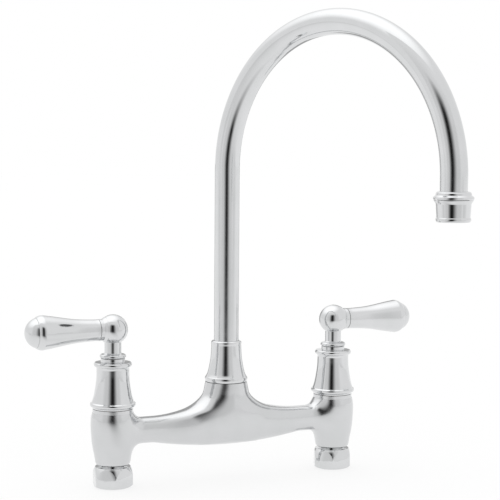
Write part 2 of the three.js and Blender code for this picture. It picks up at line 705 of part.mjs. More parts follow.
/** A ceramic disc with two ports of pie shape opposite each other. */
function portedDisc(bottom) {
  const top = bottom + DISC_THICKNESS;
  const disc = rod(HEAD_BORE_RADIUS - GAP, bottom, top, ROUND_HIDDEN);
  const half = radians(DISC_PORT_ANGLE) / 2;
  const port = new THREE.Shape();
  port.moveTo(1.6, 0);
  port.absarc(0, 0, DISC_PORT_RADIUS, -half, half);
  port.closePath();
  const cut = prism(new THREE.Shape(port.getPoints(3)), bottom - OVERLAP, top + OVERLAP);
  return disc.subtract(cut).subtract(cut.rotate([0, 0, 180]));
}

function fixedDisc() {
  return portedDisc(fixedDiscBottom);
}

function movingDisc() {
  const top = movingDiscBottom + DISC_THICKNESS;
  const slotBottom = top - TONGUE_DEPTH;
  const slot = box(TONGUE_WIDTH + 2 * GAP, TONGUE_LENGTH + 2 * GAP, slotBottom, top + OVERLAP);
  return portedDisc(movingDiscBottom).subtract(slot);
}

function spindle() {
  const footTop = spindleFootBottom + SPINDLE_FOOT;
  const ringHeight = headTop - SPINDLE_RING_DROP;
  const grooveHalf = SPINDLE_RING_SECTION / 2 + 2 * GAP;
  const clipGroove = [circlipBottom - GAP, circlipBottom + CIRCLIP_THICKNESS + GAP];
  const shaft = revolve(
    outline(
      [0, spindleFootBottom],
      [SPINDLE_FOOT_RADIUS, spindleFootBottom],
      [SPINDLE_FOOT_RADIUS, footTop],
      [SPINDLE_RADIUS, footTop],
      [SPINDLE_RADIUS, ringHeight - grooveHalf],
      [SPINDLE_GROOVE_RADIUS, ringHeight - grooveHalf],
      [SPINDLE_GROOVE_RADIUS, ringHeight + grooveHalf],
      [SPINDLE_RADIUS, ringHeight + grooveHalf],
      [SPINDLE_RADIUS, clipGroove[0]],
      [SPINDLE_GROOVE_RADIUS, clipGroove[0]],
      [SPINDLE_GROOVE_RADIUS, clipGroove[1]],
      [SPINDLE_RADIUS, clipGroove[1]],
      [SPINDLE_RADIUS, splineBottom + OVERLAP],
      [0, splineBottom + OVERLAP],
    ),
    ROUND_SMALL,
  );
  const spline = prism(
    star(SPLINE_TEETH, SPLINE_OUTER_RADIUS, SPLINE_INNER_RADIUS),
    splineBottom,
    spindleTop,
  );
  const tongueBottom = movingDiscBottom + DISC_THICKNESS - TONGUE_DEPTH + GAP;
  const tongue = box(TONGUE_WIDTH, TONGUE_LENGTH, tongueBottom, spindleFootBottom + OVERLAP);
  return shaft.add(spline).add(tongue);
}

function spindleRing() {
  const middle = SPINDLE_RADIUS - SPINDLE_RING_SECTION / 2;
  return roundRing(middle, SPINDLE_RING_SECTION, headTop - SPINDLE_RING_DROP);
}

function circlip() {
  const top = circlipBottom + CIRCLIP_THICKNESS;
  const half = radians(CIRCLIP_OPENING) / 2;
  const reach = 2 * CIRCLIP_RADIUS;
  const mouth = new THREE.Shape();
  mouth.moveTo(0, 0);
  mouth.lineTo(reach * Math.cos(half), -reach * Math.sin(half));
  mouth.lineTo(reach * Math.cos(half), reach * Math.sin(half));
  mouth.closePath();
  return ring(SPINDLE_GROOVE_RADIUS + GAP, CIRCLIP_RADIUS, circlipBottom, top)
    .subtract(prism(mouth, circlipBottom - OVERLAP, top + OVERLAP));
}

// ---------------------------------------------------------------------------------------------
// Shroud
// ---------------------------------------------------------------------------------------------

function shroud() {
  const bottom = shroudBottom;
  const top = shroudTop;
  const path = new THREE.Path();
  const cavityRadius = HEAD_HEX / 2 / Math.cos(Math.PI / 6) + GAP;
  const neckBore = HEAD_NECK_RADIUS + GAP;
  const spindleHole = SPINDLE_RADIUS + SPINDLE_HOLE_CLEARANCE;
  const bossBottom = headTop - SHROUD_BOSS_DROP;
  const clipTop = circlipBottom + CIRCLIP_THICKNESS + 2 * GAP;
  const [foot, low, bulge, high, neck] = SHROUD_RING_HEIGHTS.map((height) => bottom + height);
  const [waist, topFoot, topLow, topBulge, topHigh] = SHROUD_TOP_RING_DROPS.map((drop) => top - drop);
  path.moveTo(cavityRadius, bottom);
  path.lineTo(LAND_RADIUS, bottom);
  path.quadraticCurveTo(LAND_RADIUS + 0.2, foot, SHROUD_RING_RADIUS - 0.7, low);
  path.quadraticCurveTo(SHROUD_RING_RADIUS + 0.2, bulge, SHROUD_RING_RADIUS - 0.5, high);
  path.lineTo(SHROUD_RING_RADIUS - 1.6, neck);
  path.splineThru([
    ...SHROUD_CONE.map(([out, up]) => new THREE.Vector2(SHROUD_WAIST_RADIUS + out, bottom + up)),
    new THREE.Vector2(SHROUD_WAIST_RADIUS + 0.1, waist),
  ]);
  path.quadraticCurveTo(SHROUD_WAIST_RADIUS + 0.4, topFoot, SHROUD_TOP_RING_RADIUS - 0.4, topLow);
  path.quadraticCurveTo(SHROUD_TOP_RING_RADIUS + 0.5, topBulge, SHROUD_TOP_RING_RADIUS - 0.9, topHigh);
  path.lineTo(SHROUD_NECK_RADIUS, top);
  path.lineTo(SHROUD_NECK_RADIUS, shroudNeckTop);
  path.lineTo(spindleHole, shroudNeckTop);
  path.lineTo(spindleHole, clipTop);
  path.lineTo(neckBore, clipTop);
  path.lineTo(neckBore, bossBottom);
  path.lineTo(cavityRadius, headHexTop + SHROUD_HEX_HEADROOM);
  path.lineTo(cavityRadius, bottom);
  return revolve(path);
}

// ---------------------------------------------------------------------------------------------
// Handle: hub, set screw, lever and cap. The lever points along +X before it is placed.
// ---------------------------------------------------------------------------------------------

/** Lays a solid that was turned about Z along +X, at the height of the lever's axis. */
function alongLever(solid) {
  return solid.rotate([0, 90, 0]).translate([0, 0, leverAxis]);
}

/** Lays a solid that was turned about Z along Y, so that Z becomes the distance behind the stem. */
function acrossStem(solid, side) {
  return solid.rotate([-90 * side, 0, 0]).translate([0, 0, hubBottom + HUB_SCREW_RISE]);
}

function handleHub(side) {
  const flangeTopHeight = hubBottom + HUB_FLANGE_HEIGHT;
  const ballBottomAngle = Math.asin(-Math.sqrt(1 - square(STEM_RADIUS / BALL_RADIUS)));
  const path = new THREE.Path();
  path.moveTo(0, hubBottom);
  path.lineTo(SHROUD_NECK_RADIUS, hubBottom);
  path.lineTo(HUB_FLANGE_RADIUS, hubBottom + 0.9);
  path.quadraticCurveTo(HUB_FLANGE_RADIUS, flangeTopHeight - 0.8, STEM_RADIUS + 2.4, flangeTopHeight - 0.4);
  path.quadraticCurveTo(STEM_RADIUS, flangeTopHeight, STEM_RADIUS, flangeTopHeight + 1.0);
  path.absarc(0, leverAxis, BALL_RADIUS, ballBottomAngle, 0);
  path.absarc(0, leverAxis, BALL_RADIUS, 0, Math.PI / 2);
  const boss = new THREE.Path();
  boss.moveTo(0, 0);
  const [rootEnd, neckStart] = HUB_BOSS_ROOT_DROPS.map((drop) => HUB_BOSS_LENGTH - drop);
  boss.lineTo(HUB_BOSS_RADIUS + HUB_BOSS_ROOT_WIDTH, 0);
  boss.lineTo(HUB_BOSS_RADIUS + HUB_BOSS_ROOT_WIDTH, rootEnd);
  boss.lineTo(HUB_BOSS_RADIUS, neckStart);
  boss.lineTo(HUB_BOSS_RADIUS, HUB_BOSS_LENGTH);
  boss.lineTo(0, HUB_BOSS_LENGTH);
  const studEnd = HUB_BOSS_LENGTH - LEVER_STUD_LENGTH;
  const stud = bore(LEVER_STUD_RADIUS + GAP, studEnd, HUB_BOSS_LENGTH + OVERLAP, ROUND_SMALL);
  const spline = star(SPLINE_TEETH, SPLINE_OUTER_RADIUS + GAP, SPLINE_INNER_RADIUS + GAP);
  const screwHole = bore(HUB_SCREW_RADIUS + GAP, 0, STEM_RADIUS + OVERLAP, ROUND_SMALL);
  return revolve(path, ROUND)
    .add(alongLever(revolve(boss, ROUND)))
    .subtract(alongLever(stud))
    .subtract(prism(spline, hubBottom - OVERLAP, hubBottom + HUB_SOCKET_DEPTH))
    .subtract(acrossStem(screwHole, side));
}

function hubScrew(side) {
  const point = SPLINE_OUTER_RADIUS + GAP;
  const end = STEM_RADIUS - HUB_SCREW_DROP;
  const key = prism(star(6, HUB_SCREW_KEY_RADIUS), end - HUB_SCREW_KEY_DEPTH, end + OVERLAP);
  const screw = rod(HUB_SCREW_RADIUS, point, end, ROUND_SMALL);
  return acrossStem(screw.subtract(key), side);
}

function lever() {
  const start = HUB_BOSS_LENGTH + GAP;
  const end = LEVER_LENGTH - CAP_LENGTH - GAP;
  const widest = end - LEVER_GRIP_END;
  const span = widest - start;
  const path = new THREE.Path();
  path.moveTo(0, start - LEVER_STUD_LENGTH);
  path.lineTo(LEVER_STUD_RADIUS, start - LEVER_STUD_LENGTH);
  path.lineTo(LEVER_STUD_RADIUS, start);
  path.lineTo(HUB_BOSS_RADIUS, start);
  path.splineThru([
    ...LEVER_SWELL.map(([out, share]) => new THREE.Vector2(LEVER_WAIST_RADIUS + out, start + span * share)),
    new THREE.Vector2(LEVER_GRIP_RADIUS - 1.3, start + span * 0.82),
    new THREE.Vector2(LEVER_GRIP_RADIUS, widest),
  ]);
  path.quadraticCurveTo(LEVER_GRIP_RADIUS, end - 2.0, LEVER_GRIP_RADIUS - 1.9, end);
  path.lineTo(CAP_STUD_RADIUS + GAP, end);
  path.lineTo(CAP_STUD_RADIUS + GAP, end - CAP_STUD_LENGTH);
  path.lineTo(0, end - CAP_STUD_LENGTH);
  return alongLever(revolve(path));
}

function leverCap() {
  const face = LEVER_LENGTH - CAP_LENGTH;
  const centre = LEVER_LENGTH - CAP_BALL_RADIUS;
  const studEnd = face - CAP_STUD_LENGTH;
  const edgeAngle = Math.asin((face - centre) / CAP_BALL_RADIUS);
  const path = new THREE.Path();
  path.moveTo(0, studEnd);
  path.lineTo(CAP_STUD_RADIUS, studEnd);
  path.lineTo(CAP_STUD_RADIUS, face);
  path.absarc(0, centre, CAP_BALL_RADIUS, edgeAngle, Math.PI / 2);
  return alongLever(revolve(path));
}

// ---------------------------------------------------------------------------------------------
// Spout. It lies in the XZ plane, reaching towards +X, before it is turned to its rest angle.
// ---------------------------------------------------------------------------------------------

/** Rings of a round section along the spout's centre line. */
function spoutRings(radius, sides, bottom, end) {
  const bendSteps = 18;
  const circle = (x, z, tilt) =>
    Array.from({ length: sides }, (_, i) => {
      const angle = (2 * Math.PI * i) / sides;
      const out = radius * Math.cos(angle);
      const across = radius * Math.sin(angle);
      return new THREE.Vector3(x + out * Math.cos(tilt), across, z + out * Math.sin(tilt));
    });
  const bend = [0, ...stepsBetween(0, Math.PI, bendSteps)].map((angle) =>
    circle(
      bendRadius - bendRadius * Math.cos(angle),
      BEND_HEIGHT + bendRadius * Math.sin(angle),
      -angle,
    ),
  );
  return [circle(0, bottom, 0), ...bend, circle(SPOUT_REACH, end, -Math.PI)];
}

function spoutTube() {
  const outside = loft(spoutRings(TUBE_RADIUS, ROUND_HIDDEN, tubeBottom, tubeEnd));
  const inside = loft(
    spoutRings(TUBE_RADIUS - TUBE_WALL, ROUND_SMALL, tubeBottom - OVERLAP, tubeEnd - OVERLAP),
  );
  return outside.subtract(inside);
}

function spoutSpigot() {
  const flangeRadius = TUBE_RADIUS + SPIGOT_FLANGE_WIDTH;
  const sleeveRadius = TUBE_RADIUS - TUBE_WALL - 2 * GAP;
  const sleeveTop = spigotFlangeTop + SPIGOT_SLEEVE;
  const grooveRadius = TUBE_RADIUS - SPIGOT_GROOVE_DEPTH;
  const points = [
    [SPIGOT_BORE_RADIUS, spigotBottom],
    [TUBE_RADIUS, spigotBottom],
  ];
  SPIGOT_RING_HEIGHTS.forEach((height) => {
    const low = spigotBottom + height - SPIGOT_GROOVE_HEIGHT / 2;
    const high = low + SPIGOT_GROOVE_HEIGHT;
    points.push([TUBE_RADIUS, low], [grooveRadius, low], [grooveRadius, high], [TUBE_RADIUS, high]);
  });
  points.push(
    [TUBE_RADIUS, spigotFlangeBottom],
    [flangeRadius, spigotFlangeBottom],
    [flangeRadius, spigotFlangeTop],
    [sleeveRadius, spigotFlangeTop],
    [sleeveRadius, sleeveTop],
    [SPIGOT_BORE_RADIUS, sleeveTop],
    [SPIGOT_BORE_RADIUS, spigotBottom],
  );
  return revolve(outline(...points), ROUND_SMALL);
}

function spoutRing(height) {
  const middle = TUBE_RADIUS - SPIGOT_RING_SECTION / 2;
  return roundRing(middle, SPIGOT_RING_SECTION, spigotBottom + height);
}

/** A slip ring with the flats of its hole clear of the round spigot. */
function slipWasher(bottom) {
  const hole = socketRadius / Math.cos(Math.PI / ROUND_HIDDEN);
  return ring(hole, counterboreRadius - 2 * GAP, bottom, bottom + SLIP_WASHER);
}

function spoutFerrule() {
  const bottom = UPSTAND_HEIGHT + GAP;
  const top = bottom + FERRULE_HEIGHT;
  const topRadius = TUBE_RADIUS + FERRULE_TOP_WIDTH;
  const path = new THREE.Path();
  const [foot, widest, shoulder, neck] = FERRULE_RING_HEIGHTS.map((height) => bottom + height);
  const [coneLow, coneHigh] = FERRULE_CONE_RISES.map((rise) => bottom + rise);
  const [lipFoot, lipBulge, lipEdge] = FERRULE_LIP_DROPS.map((drop) => top - drop);
  path.moveTo(socketRadius, ferruleBottom);
  path.lineTo(ferruleThreadRadius, ferruleBottom);
  path.lineTo(ferruleThreadRadius, bottom);
  path.lineTo(FERRULE_BASE_RADIUS - 0.7, bottom);
  path.quadraticCurveTo(FERRULE_BASE_RADIUS, foot, FERRULE_BASE_RADIUS, widest);
  path.quadraticCurveTo(FERRULE_BASE_RADIUS, shoulder, FERRULE_BASE_RADIUS - 0.9, neck);
  path.splineThru([
    new THREE.Vector2(FERRULE_BASE_RADIUS - 2.6, coneLow),
    new THREE.Vector2(topRadius + 0.7, coneHigh),
    new THREE.Vector2(topRadius - 0.1, lipFoot),
  ]);
  path.quadraticCurveTo(topRadius + 0.2, lipBulge, topRadius, lipEdge);
  path.lineTo(topRadius - 1.1, top);
  path.lineTo(socketRadius, top);
  path.lineTo(socketRadius, ferruleBottom);
  return revolve(path);
}

// ---------------------------------------------------------------------------------------------
// Outlet, turned about the outlet's own axis
// ---------------------------------------------------------------------------------------------

function outletCollar() {
  const ringRadius = TUBE_RADIUS + COLLAR_RING_WIDTH;
  const skirtRadius = TUBE_RADIUS + COLLAR_SKIRT_WIDTH;
  const low = collarRingBottom;
  const [bulge, edge, neck, cap] = COLLAR_RING_HEIGHTS.map((height) => low + height);
  const path = new THREE.Path();
  path.moveTo(COLLAR_BORE_RADIUS, collarSkirtBottom);
  path.lineTo(skirtRadius, collarSkirtBottom);
  path.lineTo(skirtRadius, low);
  path.lineTo(ringRadius - 0.2, low);
  path.quadraticCurveTo(ringRadius + 0.2, bulge, ringRadius - 0.3, edge);
  path.lineTo(ringRadius - 1.9, neck);
  path.lineTo(ringRadius - 2.1, cap);
  path.quadraticCurveTo(ringRadius - 2.6, collarTop - 0.2, socketRadius + 0.4, collarTop);
  path.lineTo(socketRadius, collarTop);
  path.lineTo(socketRadius, tubeEnd - GAP);
  path.lineTo(COLLAR_BORE_RADIUS, tubeEnd - GAP);
  path.lineTo(COLLAR_BORE_RADIUS, collarSkirtBottom);
  return revolve(path, ROUND);
}

function aeratorHousing() {
  const ringRadius = TUBE_RADIUS + COLLAR_RING_WIDTH;
  const topRadius = TUBE_RADIUS + HOUSING_TOP_WIDTH;
  const footRadius = TUBE_RADIUS + HOUSING_FOOT_WIDTH;
  const beadRadius = TUBE_RADIUS + HOUSING_BEAD_WIDTH;
  const threadRadius = TUBE_RADIUS + COLLAR_SKIRT_WIDTH + GAP;
  const chamberRadius = TUBE_RADIUS + 2 * GAP;
  const low = housingBottom;
  const path = new THREE.Path();
  path.moveTo(HOUSING_LIP_RADIUS, low);
  const [beadBulge, beadTop] = HOUSING_BEAD_HEIGHTS.map((height) => low + height);
  const [ringFoot, ringBulge, ringEdge] = HOUSING_RING_DROPS.map((drop) => housingTop - drop);
  path.lineTo(beadRadius - 1.3, low);
  path.quadraticCurveTo(beadRadius + 0.3, beadBulge, footRadius, beadTop);
  path.lineTo(topRadius, ringFoot);
  path.quadraticCurveTo(topRadius + 0.5, ringBulge, ringRadius - 0.6, ringEdge);
  path.lineTo(ringRadius - 0.4, housingTop);
  path.lineTo(threadRadius, housingTop);
  path.lineTo(threadRadius, aeratorTop);
  path.lineTo(chamberRadius, aeratorTop);
  path.lineTo(chamberRadius, low + HOUSING_LIP);
  path.lineTo(HOUSING_LIP_RADIUS, low + HOUSING_LIP);
  path.lineTo(HOUSING_LIP_RADIUS, low);
  return revolve(path, ROUND);
}

/** A disc with a hexagonal pattern of round holes. */
function aeratorInsert() {
  let insert = rod(TUBE_RADIUS + GAP, aeratorBottom, aeratorTop, ROUND_HIDDEN);
  const hole = rod(AERATOR_HOLE_RADIUS, aeratorBottom - OVERLAP, aeratorTop + OVERLAP, 6);
  const rings = 2;
  for (let q = -rings; q <= rings; q += 1) {
    for (let r = -rings; r <= rings; r += 1) {
      if (Math.abs(q + r) > rings) continue;
      const x = AERATOR_HOLE_PITCH * (q + r / 2);
      const y = (AERATOR_HOLE_PITCH * r * Math.sqrt(3)) / 2;
      insert = insert.subtract(hole.translate([x, y, 0]));
    }
  }
  return insert;
}

function aeratorWasher() {
  const bottom = aeratorTop + GAP;
  return ring(COLLAR_BORE_RADIUS, TUBE_RADIUS + COLLAR_SKIRT_WIDTH, bottom, bottom + AERATOR_WASHER);
}

// ---------------------------------------------------------------------------------------------
// Assembly
// ---------------------------------------------------------------------------------------------

const faucet = new THREE.Group();

function place(parent, name, solid, material) {
  const mesh = new THREE.Mesh(geometryOf(solid), material);
  mesh.name = name;
  parent.add(mesh);
  return mesh;
}

place(faucet, 'bridge_body', bridgeBody(), chrome);

const sides = [
  { name: 'left', x: -halfSpacing, turn: 180, back: -1, nutTurn: LEFT_NUT_TURN },
  { name: 'right', x: halfSpacing, turn: 0, back: 1, nutTurn: RIGHT_NUT_TURN },
];

sides.forEach(({ name, x, turn, back, nutTurn }) => {
  const inlet = new THREE.Group();
  inlet.position.x = x;
  faucet.add(inlet);
  const nut = place(inlet, `${name}_union_nut`, unionNut(), chrome);
  nut.rotation.z = radians(nutTurn);
  place(inlet, `${name}_inlet_tail`, inletTail(), chrome);
  place(inlet, `${name}_inlet_washer`, inletWasher(), rubber);

  const valve = new THREE.Group();
  valve.position.x = x;
  valve.rotation.z = radians(turn);
  faucet.add(valve);
  place(valve, `${name}_cartridge_body`, cartridgeBody(), brass);
  place(valve, `${name}_cartridge_seal`, cartridgeSeal(), rubber);
  place(valve, `${name}_fixed_disc`, fixedDisc(), ceramic);
  place(valve, `${name}_moving_disc`, movingDisc(), ceramic);
  place(valve, `${name}_spindle`, spindle(), brass);
  place(valve, `${name}_spindle_o_ring`, spindleRing(), rubber);
  place(valve, `${name}_circlip`, circlip(), steel);
  place(valve, `${name}_shroud`, shroud(), chrome);
  place(valve, `${name}_handle_hub`, handleHub(back), chrome);
  place(valve, `${name}_hub_screw`, hubScrew(back), steel);
  place(valve, `${name}_lever`, lever(), chrome);
  place(valve, `${name}_lever_cap`, leverCap(), chrome);
});

place(faucet, 'spout_ferrule', spoutFerrule(), chrome);
place(faucet, 'spout_washer_lower', slipWasher(slipLowerBottom), nylon);
place(faucet, 'spout_washer_upper', slipWasher(slipUpperBottom), nylon);

const spout = new THREE.Group();
spout.rotation.z = radians(SPOUT_REST_ANGLE);
faucet.add(spout);
place(spout, 'spout_tube', spoutTube(), chrome);
place(spout, 'spout_spigot', spoutSpigot(), brass);
place(spout, 'spout_o_ring_lower', spoutRing(SPIGOT_RING_HEIGHTS[0]), rubber);
place(spout, 'spout_o_ring_upper', spoutRing(SPIGOT_RING_HEIGHTS[1]), rubber);

const outlet = new THREE.Group();
outlet.position.x = SPOUT_REACH;
spout.add(outlet);
place(outlet, 'outlet_collar', outletCollar(), chrome);
place(outlet, 'aerator_housing', aeratorHousing(), chrome);
place(outlet, 'aerator_insert', aeratorInsert(), nylon);
place(outlet, 'aerator_washer', aeratorWasher(), rubber);

export default faucet;
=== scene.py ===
"""Bridge kitchen faucet in polished chrome: the finished surfaces, materials, light and camera.

Lengths are written in millimetres and turned into metres when a mesh is made. Heights and radii
that belong to a piece of the frame are read from that piece's box. In the outlines of the turned
pieces, small offsets from a named radius or height shape the beads and hollows there.
"""

import json
import math

import bmesh
import bpy
import numpy as np
from mathutils import Matrix, Vector


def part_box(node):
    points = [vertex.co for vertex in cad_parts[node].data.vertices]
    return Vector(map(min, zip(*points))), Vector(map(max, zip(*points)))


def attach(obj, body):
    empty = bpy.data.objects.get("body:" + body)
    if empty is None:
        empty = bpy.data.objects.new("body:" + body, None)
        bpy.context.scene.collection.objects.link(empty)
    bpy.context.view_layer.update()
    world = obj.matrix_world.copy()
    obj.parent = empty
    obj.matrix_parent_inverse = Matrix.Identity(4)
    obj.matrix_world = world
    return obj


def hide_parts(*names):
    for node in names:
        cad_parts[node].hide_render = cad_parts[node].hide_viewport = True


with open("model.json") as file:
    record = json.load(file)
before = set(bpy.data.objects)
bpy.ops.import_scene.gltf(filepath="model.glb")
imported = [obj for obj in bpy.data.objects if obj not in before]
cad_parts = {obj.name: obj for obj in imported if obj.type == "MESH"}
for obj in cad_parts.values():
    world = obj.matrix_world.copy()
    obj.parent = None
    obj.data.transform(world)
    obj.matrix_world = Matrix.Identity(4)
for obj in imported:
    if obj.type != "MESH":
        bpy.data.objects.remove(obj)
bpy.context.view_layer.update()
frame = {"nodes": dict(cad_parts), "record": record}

MM = 0.001
GAP = 0.3  # clearance between separate pieces
ROUND = 96  # sides of a turned piece
CUT = 1.0  # how far a cutter runs past what it cuts


def new_object(name, data):
    thing = bpy.data.objects.new(name, data)
    bpy.context.scene.collection.objects.link(thing)
    return thing


# --- Camera ---

IMAGE_SIZE = 500  # pixels, both ways
FOCAL_LENGTH = 1601.25  # pixels
VIEW_AZIMUTH = math.radians(-24.394)
VIEW_ELEVATION = math.radians(4.409)
VIEW_ROLL = math.radians(0.403)
CAMERA_PLACE = (-538.22, -1235.13, 297.14)
SENSOR = 36.0
HALF_PIXEL = 0.5  # how far the camera's axis is from the picture's middle, both ways
CLIP_START, CLIP_END = 0.05, 20.0  # metres


def make_camera():
    forward = Vector(
        (
            -math.sin(VIEW_AZIMUTH) * math.cos(VIEW_ELEVATION),
            math.cos(VIEW_AZIMUTH) * math.cos(VIEW_ELEVATION),
            -math.sin(VIEW_ELEVATION),
        )
    )
    level = Vector((math.cos(VIEW_AZIMUTH), math.sin(VIEW_AZIMUTH), 0.0))
    upright = level.cross(forward)
    right = math.cos(VIEW_ROLL) * level + math.sin(VIEW_ROLL) * upright
    up = math.cos(VIEW_ROLL) * upright - math.sin(VIEW_ROLL) * level
    data = bpy.data.cameras.new("camera")
    data.sensor_width = SENSOR
    data.lens = SENSOR * FOCAL_LENGTH / IMAGE_SIZE
    data.shift_x = -HALF_PIXEL / IMAGE_SIZE
    data.shift_y = HALF_PIXEL / IMAGE_SIZE
    data.clip_start = CLIP_START
    data.clip_end = CLIP_END
    camera = new_object("camera", data)
    turn = Matrix((right, up, -forward)).transposed().to_4x4()
    camera.matrix_world = Matrix.Translation(Vector(CAMERA_PLACE) * MM) @ turn
    bpy.context.scene.camera = camera


make_camera()


# --- Sizes taken from the frame, in millimetres ---


def span(node, axis=2):
    """Where a node of the frame starts and ends along an axis."""
    return [corner[axis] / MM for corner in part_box(node)]


def low(node):
    return span(node)[0]


def high(node, axis=2):
    return span(node, axis)[1]


def middle(node, axis=2):
    return sum(span(node, axis)) / 2


half_spacing = middle("right_union_nut", 0)
SIDES = (("left", -1), ("right", 1))


# --- Outlines for turning ---

EASE = 0.3  # rounding of a turned piece's corners
EASED_FROM = math.radians(25)  # a corner that turns less stays as it is
EASE_SHARE = 0.45  # the most that a rounding takes of the stretches beside it
EASE_STEPS = 5
HOLD = 0.25  # from a stretch's ends to the points that keep it crisp
HELD_FROM = 1.2  # shorter stretches have no such points


class Profile:
    """A line of (radius, height) points for turning, drawn with straight and curved stretches."""

    def __init__(self, radius, height):
        self.points = [(radius, height)]

    def line(self, radius, height):
        self.points.append((radius, height))
        return self

    def lines(self, *points):
        self.points.extend(points)
        return self

    def close(self):
        """A straight stretch back to where the line starts."""
        return self.line(*self.points[0])

    def curve(self, control_radius, control_height, radius, height, steps=10):
        """A quadratic curve, pulled towards its control point."""
        control, end = (control_radius, control_height), (radius, height)
        self.points.extend(quadratic(self.points[-1], control, end, steps)[1:])
        return self

    def dome(self, centre, radius, start, steps):
        """An arc about a height on the axis, from an angle above the level up to the axis."""
        for i in range(steps):
            angle = start + (math.pi / 2 - start) * i / steps
            self.line(radius * math.cos(angle), centre + radius * math.sin(angle))
        return self.line(0, centre + radius)

    def smooth(self, *knots, steps=14):
        """A smooth curve from the last point through the knots."""
        self.points.extend(catmull_rom([self.points[-1], *knots], steps)[1:])
        return self


def quadratic(start, control, end, steps):
    """Points on the curve from start to end that is pulled towards its control point."""
    start, control, end = np.array(start), np.array(control), np.array(end)
    shares = [i / steps for i in range(steps + 1)]
    return [tuple((1 - t) ** 2 * start + 2 * t * (1 - t) * control + t * t * end) for t in shares]


def catmull_rom(knots, steps):
    """Points on the smooth curve through the knots."""
    points = [knots[0]]
    for i in range(len(knots) - 1):
        p0, p1 = np.array(knots[max(i - 1, 0)]), np.array(knots[i])
        p2, p3 = np.array(knots[i + 1]), np.array(knots[min(i + 2, len(knots) - 1)])
        v1, v2 = (p2 - p0) / 2, (p3 - p1) / 2
        cubic = 2 * p1 - 2 * p2 + v1 + v2
        square = -3 * p1 + 3 * p2 - 2 * v1 - v2
        for j in range(1, steps + 1):
            t = j / steps
            points.append(tuple(cubic * t**3 + square * t**2 + v1 * t + p1))
    return points


def eased(points, radius):
    """The same line with its sharp corners rounded. A closed line ends where it starts."""
    closed = points[0] == points[-1]
    count = len(points) - 1 if closed else len(points)
    made = []
    for i in range(count):
        here = np.array(points[i])
        if not closed and i in (0, count - 1):
            made.append(tuple(here))
            continue
        back, ahead = np.array(points[i - 1 if i else count - 1]), np.array(points[(i + 1) % count])
        into, out = here - back, ahead - here
        turn = abs(math.atan2(into[0] * out[1] - into[1] * out[0], into @ out))
        if turn < EASED_FROM:
            made.append(tuple(here))
            continue
        before, after = np.linalg.norm(into), np.linalg.norm(out)
        reach = min(radius * math.tan(turn / 2), EASE_SHARE * before, EASE_SHARE * after)
        first, last = here - into / before * reach, here + out / after * reach
        made += quadratic(first, here, last, EASE_STEPS)
    if closed:
        made.append(made[0])
    return made


def held(points):
    """The same line with a point close to both ends of each long stretch, which keeps it crisp."""
    made = [points[0]]
    for (r0, z0), (r1, z1) in zip(points, points[1:]):
        length = math.hypot(r1 - r0, z1 - z0)
        if length > HELD_FROM:
            for share in (HOLD / length, 1 - HOLD / length):
                made.append((r0 + (r1 - r0) * share, z0 + (z1 - z0) * share))
        made.append((r1, z1))
    return made


# --- Meshes ---

SHARP = math.radians(40)  # corners that turn more stay sharp when shaded
WELD = 1e-7  # metres
SAME = 1e-6  # lengths that differ by less are alike
THREAD_ROWS = 8  # rows of points a turn


def mesh_object(name, vertices, faces):
    """An object from vertices in millimetres, with its faces pointing out."""
    mesh = bpy.data.meshes.new(name)
    mesh.from_pydata([tuple(c * MM for c in v) for v in vertices], [], faces)
    work = bmesh.new()
    work.from_mesh(mesh)
    bmesh.ops.remove_doubles(work, verts=work.verts, dist=WELD)
    bmesh.ops.dissolve_degenerate(work, edges=work.edges, dist=WELD)
    bmesh.ops.recalc_face_normals(work, faces=work.faces)
    work.to_mesh(mesh)
    work.free()
    return new_object(name, mesh)


def band(a, b, sides):
    """The faces between two closed rows of points, which start at vertices a and b."""
    return [(a + j, a + (j + 1) % sides, b + (j + 1) % sides, b + j) for j in range(sides)]


def turned(name, profile, sides=ROUND, ease=EASE, thread=None):
    """A solid of revolution about Z. A thread is (bottom, top, radius of its wall, pitch, depth)."""
    points = held(eased(profile.points, ease)) if ease else profile.points
    closed = points[0] == points[-1]
    if closed:
        points = points[:-1]
    if thread:
        points = with_thread_rows(points, thread)
    count = len(points)
    vertices, faces = [], []
    for i in range(sides):
        angle = 2 * math.pi * i / sides
        for radius, height in points:
            grown = radius + thread_depth(radius, height, i / sides, thread)
            vertices.append((grown * math.cos(angle), grown * math.sin(angle), height))
    for i in range(sides):
        a, b = i * count, ((i + 1) % sides) * count
        for j in range(count if closed else count - 1):
            k = (j + 1) % count
            faces.append((a + j, b + j, b + k, a + k))
    return mesh_object(name, vertices, faces)


def with_thread_rows(points, thread):
    """Adds close rows of points to the straight wall that the thread is cut in."""
    _, _, wall, pitch, _ = thread
    made = []
    for (r0, z0), (r1, z1) in zip(points, points[1:] + points[:1]):
        made.append((r0, z0))
        on_wall = abs(r0 - wall) < SAME and abs(r1 - wall) < SAME
        if on_wall and abs(z1 - z0) > pitch:
            count = int(abs(z1 - z0) / pitch * THREAD_ROWS)
            made.extend((wall, z0 + (z1 - z0) * i / count) for i in range(1, count))
    return made


def thread_depth(radius, height, turn, thread):
    """How much deeper than the wall a thread's groove is at a height and a share of a turn."""
    if not thread:
        return 0.0
    bottom, top, wall, pitch, depth = thread
    if abs(radius - wall) > SAME:
        return 0.0
    fade = min(max((height - bottom) / pitch, 0.0), max((top - height) / pitch, 0.0), 1.0)
    place = (height / pitch - turn) % 1.0
    return depth * fade * (1 - abs(2 * place - 1))


def apply_modifiers(thing):
    graph = bpy.context.evaluated_depsgraph_get()
    made = bpy.data.meshes.new_from_object(thing.evaluated_get(graph))
    thing.modifiers.clear()
    old = thing.data
    thing.data = made
    bpy.data.meshes.remove(old)


